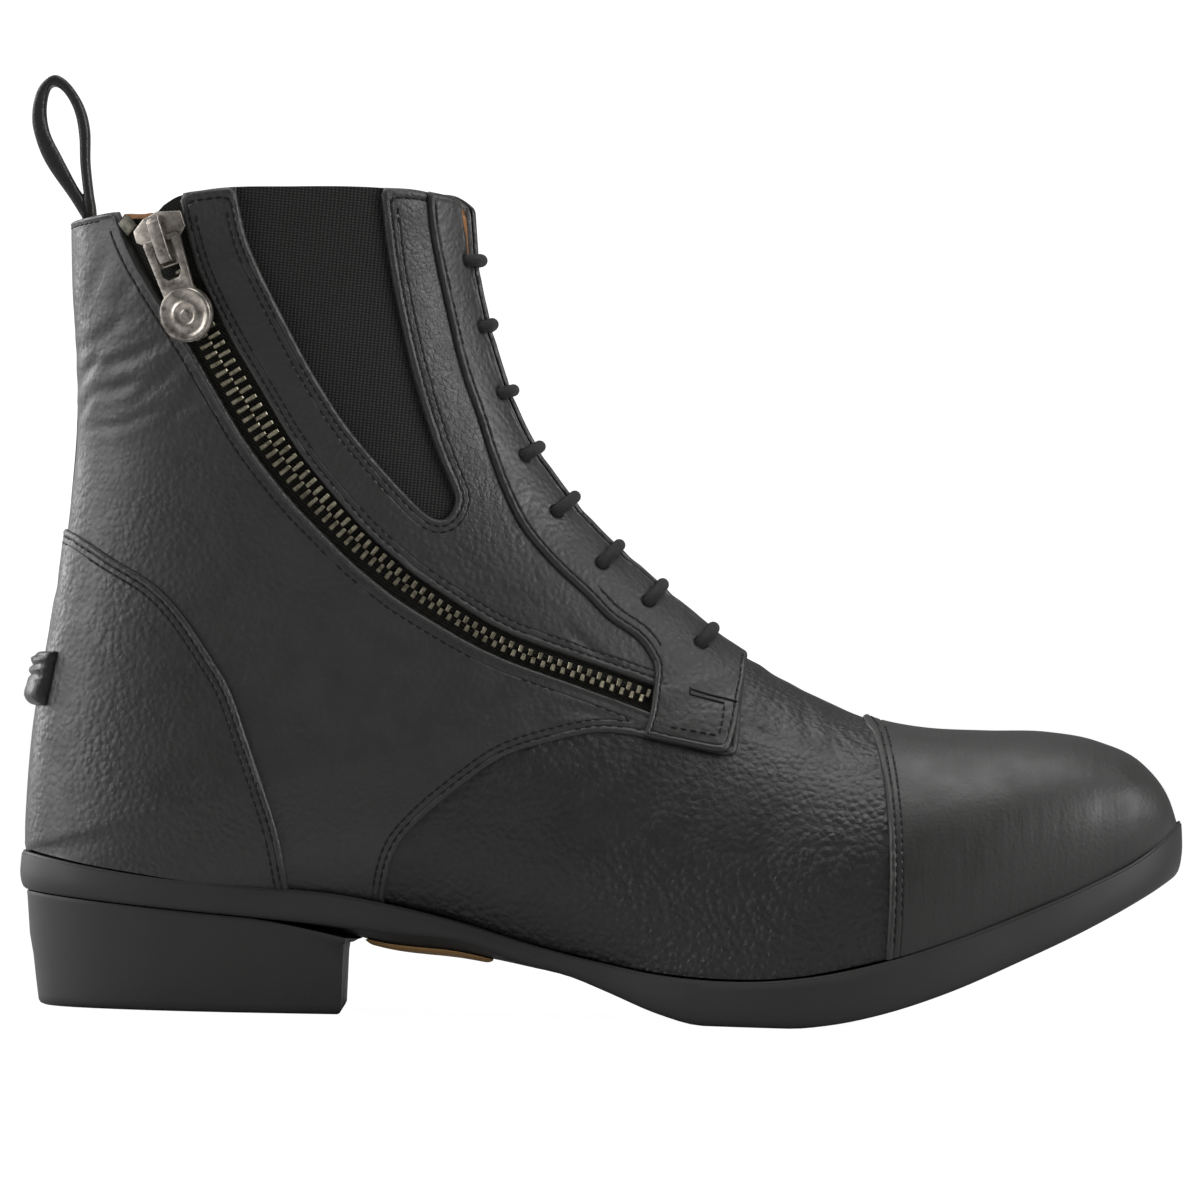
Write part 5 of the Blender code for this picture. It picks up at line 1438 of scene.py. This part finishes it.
def tube(name, path, radius, corners, material, replaces=()):
    """A round cord along points in mm, with a UV map that runs along it."""
    path = np.asarray(path, float)
    tangent = np.gradient(path, axis=0)
    tangent /= np.linalg.norm(tangent, axis=1)[:, None]
    across = np.cross(tangent[0], (0.3, 0.1, 0.9))
    points, uvs = [], []
    run = run_of(path)
    for p, t in zip(path, tangent):
        across = across - t * np.dot(across, t)
        across /= np.linalg.norm(across)
        other = np.cross(t, across)
        for k in range(corners):
            angle = 2 * np.pi * k / corners
            points.append(p + radius * (np.cos(angle) * across + np.sin(angle) * other))
    faces = bands(len(path), corners)
    for low, high in zip(run, run[1:]):
        for k in range(corners):
            uvs += [(k, low), (k + 1, low), (k + 1, high), (k, high)]
    faces.append(list(range(corners))[::-1])
    faces.append([(len(path) - 1) * corners + k for k in range(corners)])
    mesh = bpy.data.meshes.new(name)
    mesh.from_pydata((np.array(points) * MM).tolist(), [], faces)
    layer = mesh.uv_layers.new(name="along")
    width = 2 * np.pi * radius / corners
    for k, (u, v) in enumerate(uvs):
        layer.data[k].uv = (u * width, v)
    attach(name, mesh, material, replaces, "boot", 50)


ridge = skin(np.linspace(0, THROAT_END, 400), 0.0, -1, False)
high = FIT_GAP + 1.0 + LACE_RADIUS + 0.1
for number, (x, z) in enumerate(LACE_HOLES, 1):
    (hole_a, out_a), (hole_b, out_b) = (spot(x, z, side) for side in (-1, 1))
    middle = ridge[int(np.argmin((ridge[:, 0] - x) ** 2 + (ridge[:, 2] - z) ** 2))]
    a, b = hole_a + out_a * high, hole_b + out_b * high
    ahead = (middle - (a + b) / 2) * np.array([1, 0, 1])
    ahead = ahead + 0.9 * ahead / np.linalg.norm(ahead)
    slope = 1.1 if number % 2 else 0.7
    path = [hole_a - out_a * sunk for sunk in SUNK]
    for t in np.linspace(0.06, 0.94, 25):
        bow = ahead * (1 - abs(2 * t - 1) ** 3.4)
        path.append(a + (b - a) * t + bow + np.array([0.0, 0.0, 1.0]) * slope * (t - 0.5) * 0.6)
    path = np.array(path + [hole_b - out_b * sunk for sunk in SUNK[::-1]])
    path = at_run(np.linspace(0, len(path) - 1, 90), np.arange(len(path)), path, 3).T
    for smoothing in range(6):
        path[1:-1] = (path[:-2] + 2 * path[1:-1] + path[2:]) / 4
    tube(f"lace_cord_{number}", path, LACE_RADIUS, 16, cord.material, [f"lace_{number}"])

# ---------------------------------------------------------------- Pull loop
# A folded leather strap, 10 mm wide and sewn along both edges, bent into a loop and stitched
# inside the back of the collar.
PULL_LOOP = (
    # outer x, z, inner x, z
    (-136.6, 201.8, -136.9, 207.9),
    (-139.9, 206.8, -138.6, 210.4),
    (-146.2, 215.6, -142.6, 217.6),
    (-149.2, 222.9, -145.7, 223.6),
    (-149.9, 228.6, -146.7, 229.4),
    (-148.4, 234.7, -145.9, 234.4),
    (-144.6, 238.0, -144.0, 235.3),
    (-140.9, 236.2, -141.3, 233.0),
    (-137.2, 230.8, -138.9, 228.4),
    (-135.4, 224.4, -137.7, 222.4),
    (-135.1, 216.1, -137.3, 215.8),
    (-134.1, 208.2, -136.6, 210.2),
    (-133.2, 202.6, -136.3, 208.2),
    (-132.7, 190.0, -136.3, 207.6),
    (-135.2, 190.0, -136.5, 207.5),
    (-135.4, 200.6, -136.7, 207.6),
)
loop = np.array(PULL_LOOP)
outer_edge, inner_edge = smooth_line(loop[:, :2], 6)[:-1], smooth_line(loop[:, 2:], 6)[:-1]
PROFILE = (
    # across the strap, share of the thickness drawn in
    (-5.0, 0.5), (-4.95, 0.3), (-4.75, 0.1), (-4.3, 0.0), (-3.9, 0.05), (-3.6, 0.12), (-3.3, 0.05), (-2.6, 0.0),
    (0.0, -0.03), (2.6, 0.0), (3.3, 0.05), (3.6, 0.12), (3.9, 0.05), (4.3, 0.0), (4.75, 0.1), (4.95, 0.3), (5.0, 0.5),
)
points = []
n = len(outer_edge)
for y, drawn in PROFILE:
    points += [(*(p + (q - p) * drawn), y) for p, q in zip(outer_edge, inner_edge)]
for y, drawn in PROFILE[::-1][1:-1]:
    points += [(*(q + (p - q) * drawn), y) for p, q in zip(outer_edge, inner_edge)]
points = np.array(points)[:, [0, 2, 1]]
last = len(points) - n
faces = bands(len(points) // n, n)
faces += [[last + k, last + (k + 1) % n, (k + 1) % n, k] for k in range(n)]
piece("pull_strap", points, faces, strap_leather, "leather", ["pull_loop"], crease=60.0)

# ---------------------------------------------------------------- Spur rest
# A short roll of leather over a stiff core, sewn across the back of the counter to carry a spur.
# Three ribs are pressed into its upper part, and its foot is a smooth bead.
SPUR_REST = ((-156.0, 89.2), (-128.0, 90.8), (-128.0, 77.2), (-156.0, 75.6))
REST_HALF = 12.4
RIB_PITCH = 2.7


def rest_depth(seen, places, side):
    return np.minimum(depth_in(side_view(seen), SPUR_REST), REST_HALF - np.abs(seen[:, 1]))


def rest_top(depth, base, places, side):
    z = base[:, 2]
    ribs = 0.5 * np.cos(2 * np.pi * (z - 87.6) / RIB_PITCH) * np.clip((z - 81.5) / 1.5, 0, 1)
    bulge = 0.5 * np.exp(-(((z - 79.4) / 2.0) ** 2))
    return 1.7 + 2.7 * rounded(depth, 2.2) + (ribs + bulge) * np.clip(depth / 1.6, 0, 1)


panel(
    "spur_rest_roll", (strap_leather, "leather", ["spur_rest"]), (-1, 1), rest_depth, rest_top, 1.35,
    (0.0, 0.15, 0.4, 0.8, 1.3, 1.9), (90.0, float(KNOTS[15])), (0.7, 1.0, 60), 0.7,
)

# ---------------------------------------------------------------- Stitching
# Lock stitches in black thread, one every 2.3 mm, lying in the grooves along every seam. A few
# raised seams box in the tab at the foot of each facing.
STITCH_PITCH = 2.3
STITCH_LENGTH = 1.6
STITCH_THICK = 0.66
STITCH_SIDES = 6
TAB_SEAMS = (
    ((21.4, 84.0), (26.8, 82.4), (33.6, 80.7)),
    ((21.6, 82.6), (26.0, 81.4), (30.3, 80.3)),
    ((21.5, 84.3), (21.5, 82.4)),
)
thread = Finish("black_thread", Roughness=0.6, Specular_IOR_Level=0.25)
twist = thread.noise(3200.0, 2.0)
thread.colour(twist, (0.002, 0.002, 0.002), (0.007, 0.007, 0.0068))
thread.bump(twist, 0.5, 0.0001)
template = []
for t, r in ((-0.5, 0.35), (-0.3, 0.9), (0.3, 0.9), (0.5, 0.35)):
    for k in range(STITCH_SIDES):
        angle = 2 * math.pi * k / STITCH_SIDES
        template.append((t, r * 0.5 * math.cos(angle), r * 0.5 * math.sin(angle)))
template = np.array(template)
template_faces = bands(4, STITCH_SIDES) + [list(range(STITCH_SIDES))[::-1]]
template_faces += [[3 * STITCH_SIDES + k for k in range(STITCH_SIDES)]]
groups = {}
for over, normal, base, side, name, level, wanted in stitch_rows:
    run = run_of(over)
    if run[-1] < 2.4 * STITCH_PITCH:
        continue
    amount = max(int(run[-1] / STITCH_PITCH), 1)
    points, faces = groups.setdefault(name, ([], []))
    for q in (np.arange(amount) + 0.5) * run[-1] / amount:
        if wanted and not wanted(at_run(q, run, base, 3), level, side):
            continue
        ahead = at_run(q + 0.8, run, over, 3) - at_run(q - 0.8, run, over, 3)
        if np.linalg.norm(ahead) < 0.2:
            continue
        ahead = unit(ahead)
        out = at_run(q, run, normal, 3)
        out = unit(out - ahead * np.dot(out, ahead))
        across = np.cross(out, ahead)
        start = sum(len(p) for p in points)
        block = at_run(q, run, over, 3) + template[:, :1] * STITCH_LENGTH * ahead
        block = block + template[:, 1:2] * STITCH_THICK * across
        points.append(block + (template[:, 2:] * STITCH_THICK * 0.8 + 0.14) * out)
        faces += [[k + start for k in face] for face in template_faces]
for side, which in SIDES:
    for number, row in enumerate(TAB_SEAMS):
        found = [spot(x, z, side) for x, z in along(row, np.linspace(0, 1, 14))]
        path = [place + 1.5 * out for place, out in found]
        tube(f"tab_seam_{which}_{number}", path, 0.26, 8, thread.material)
for name, (points, faces) in groups.items():
    piece("stitches_" + name, np.concatenate(points), faces, thread.material, "leather", crease=60.0)
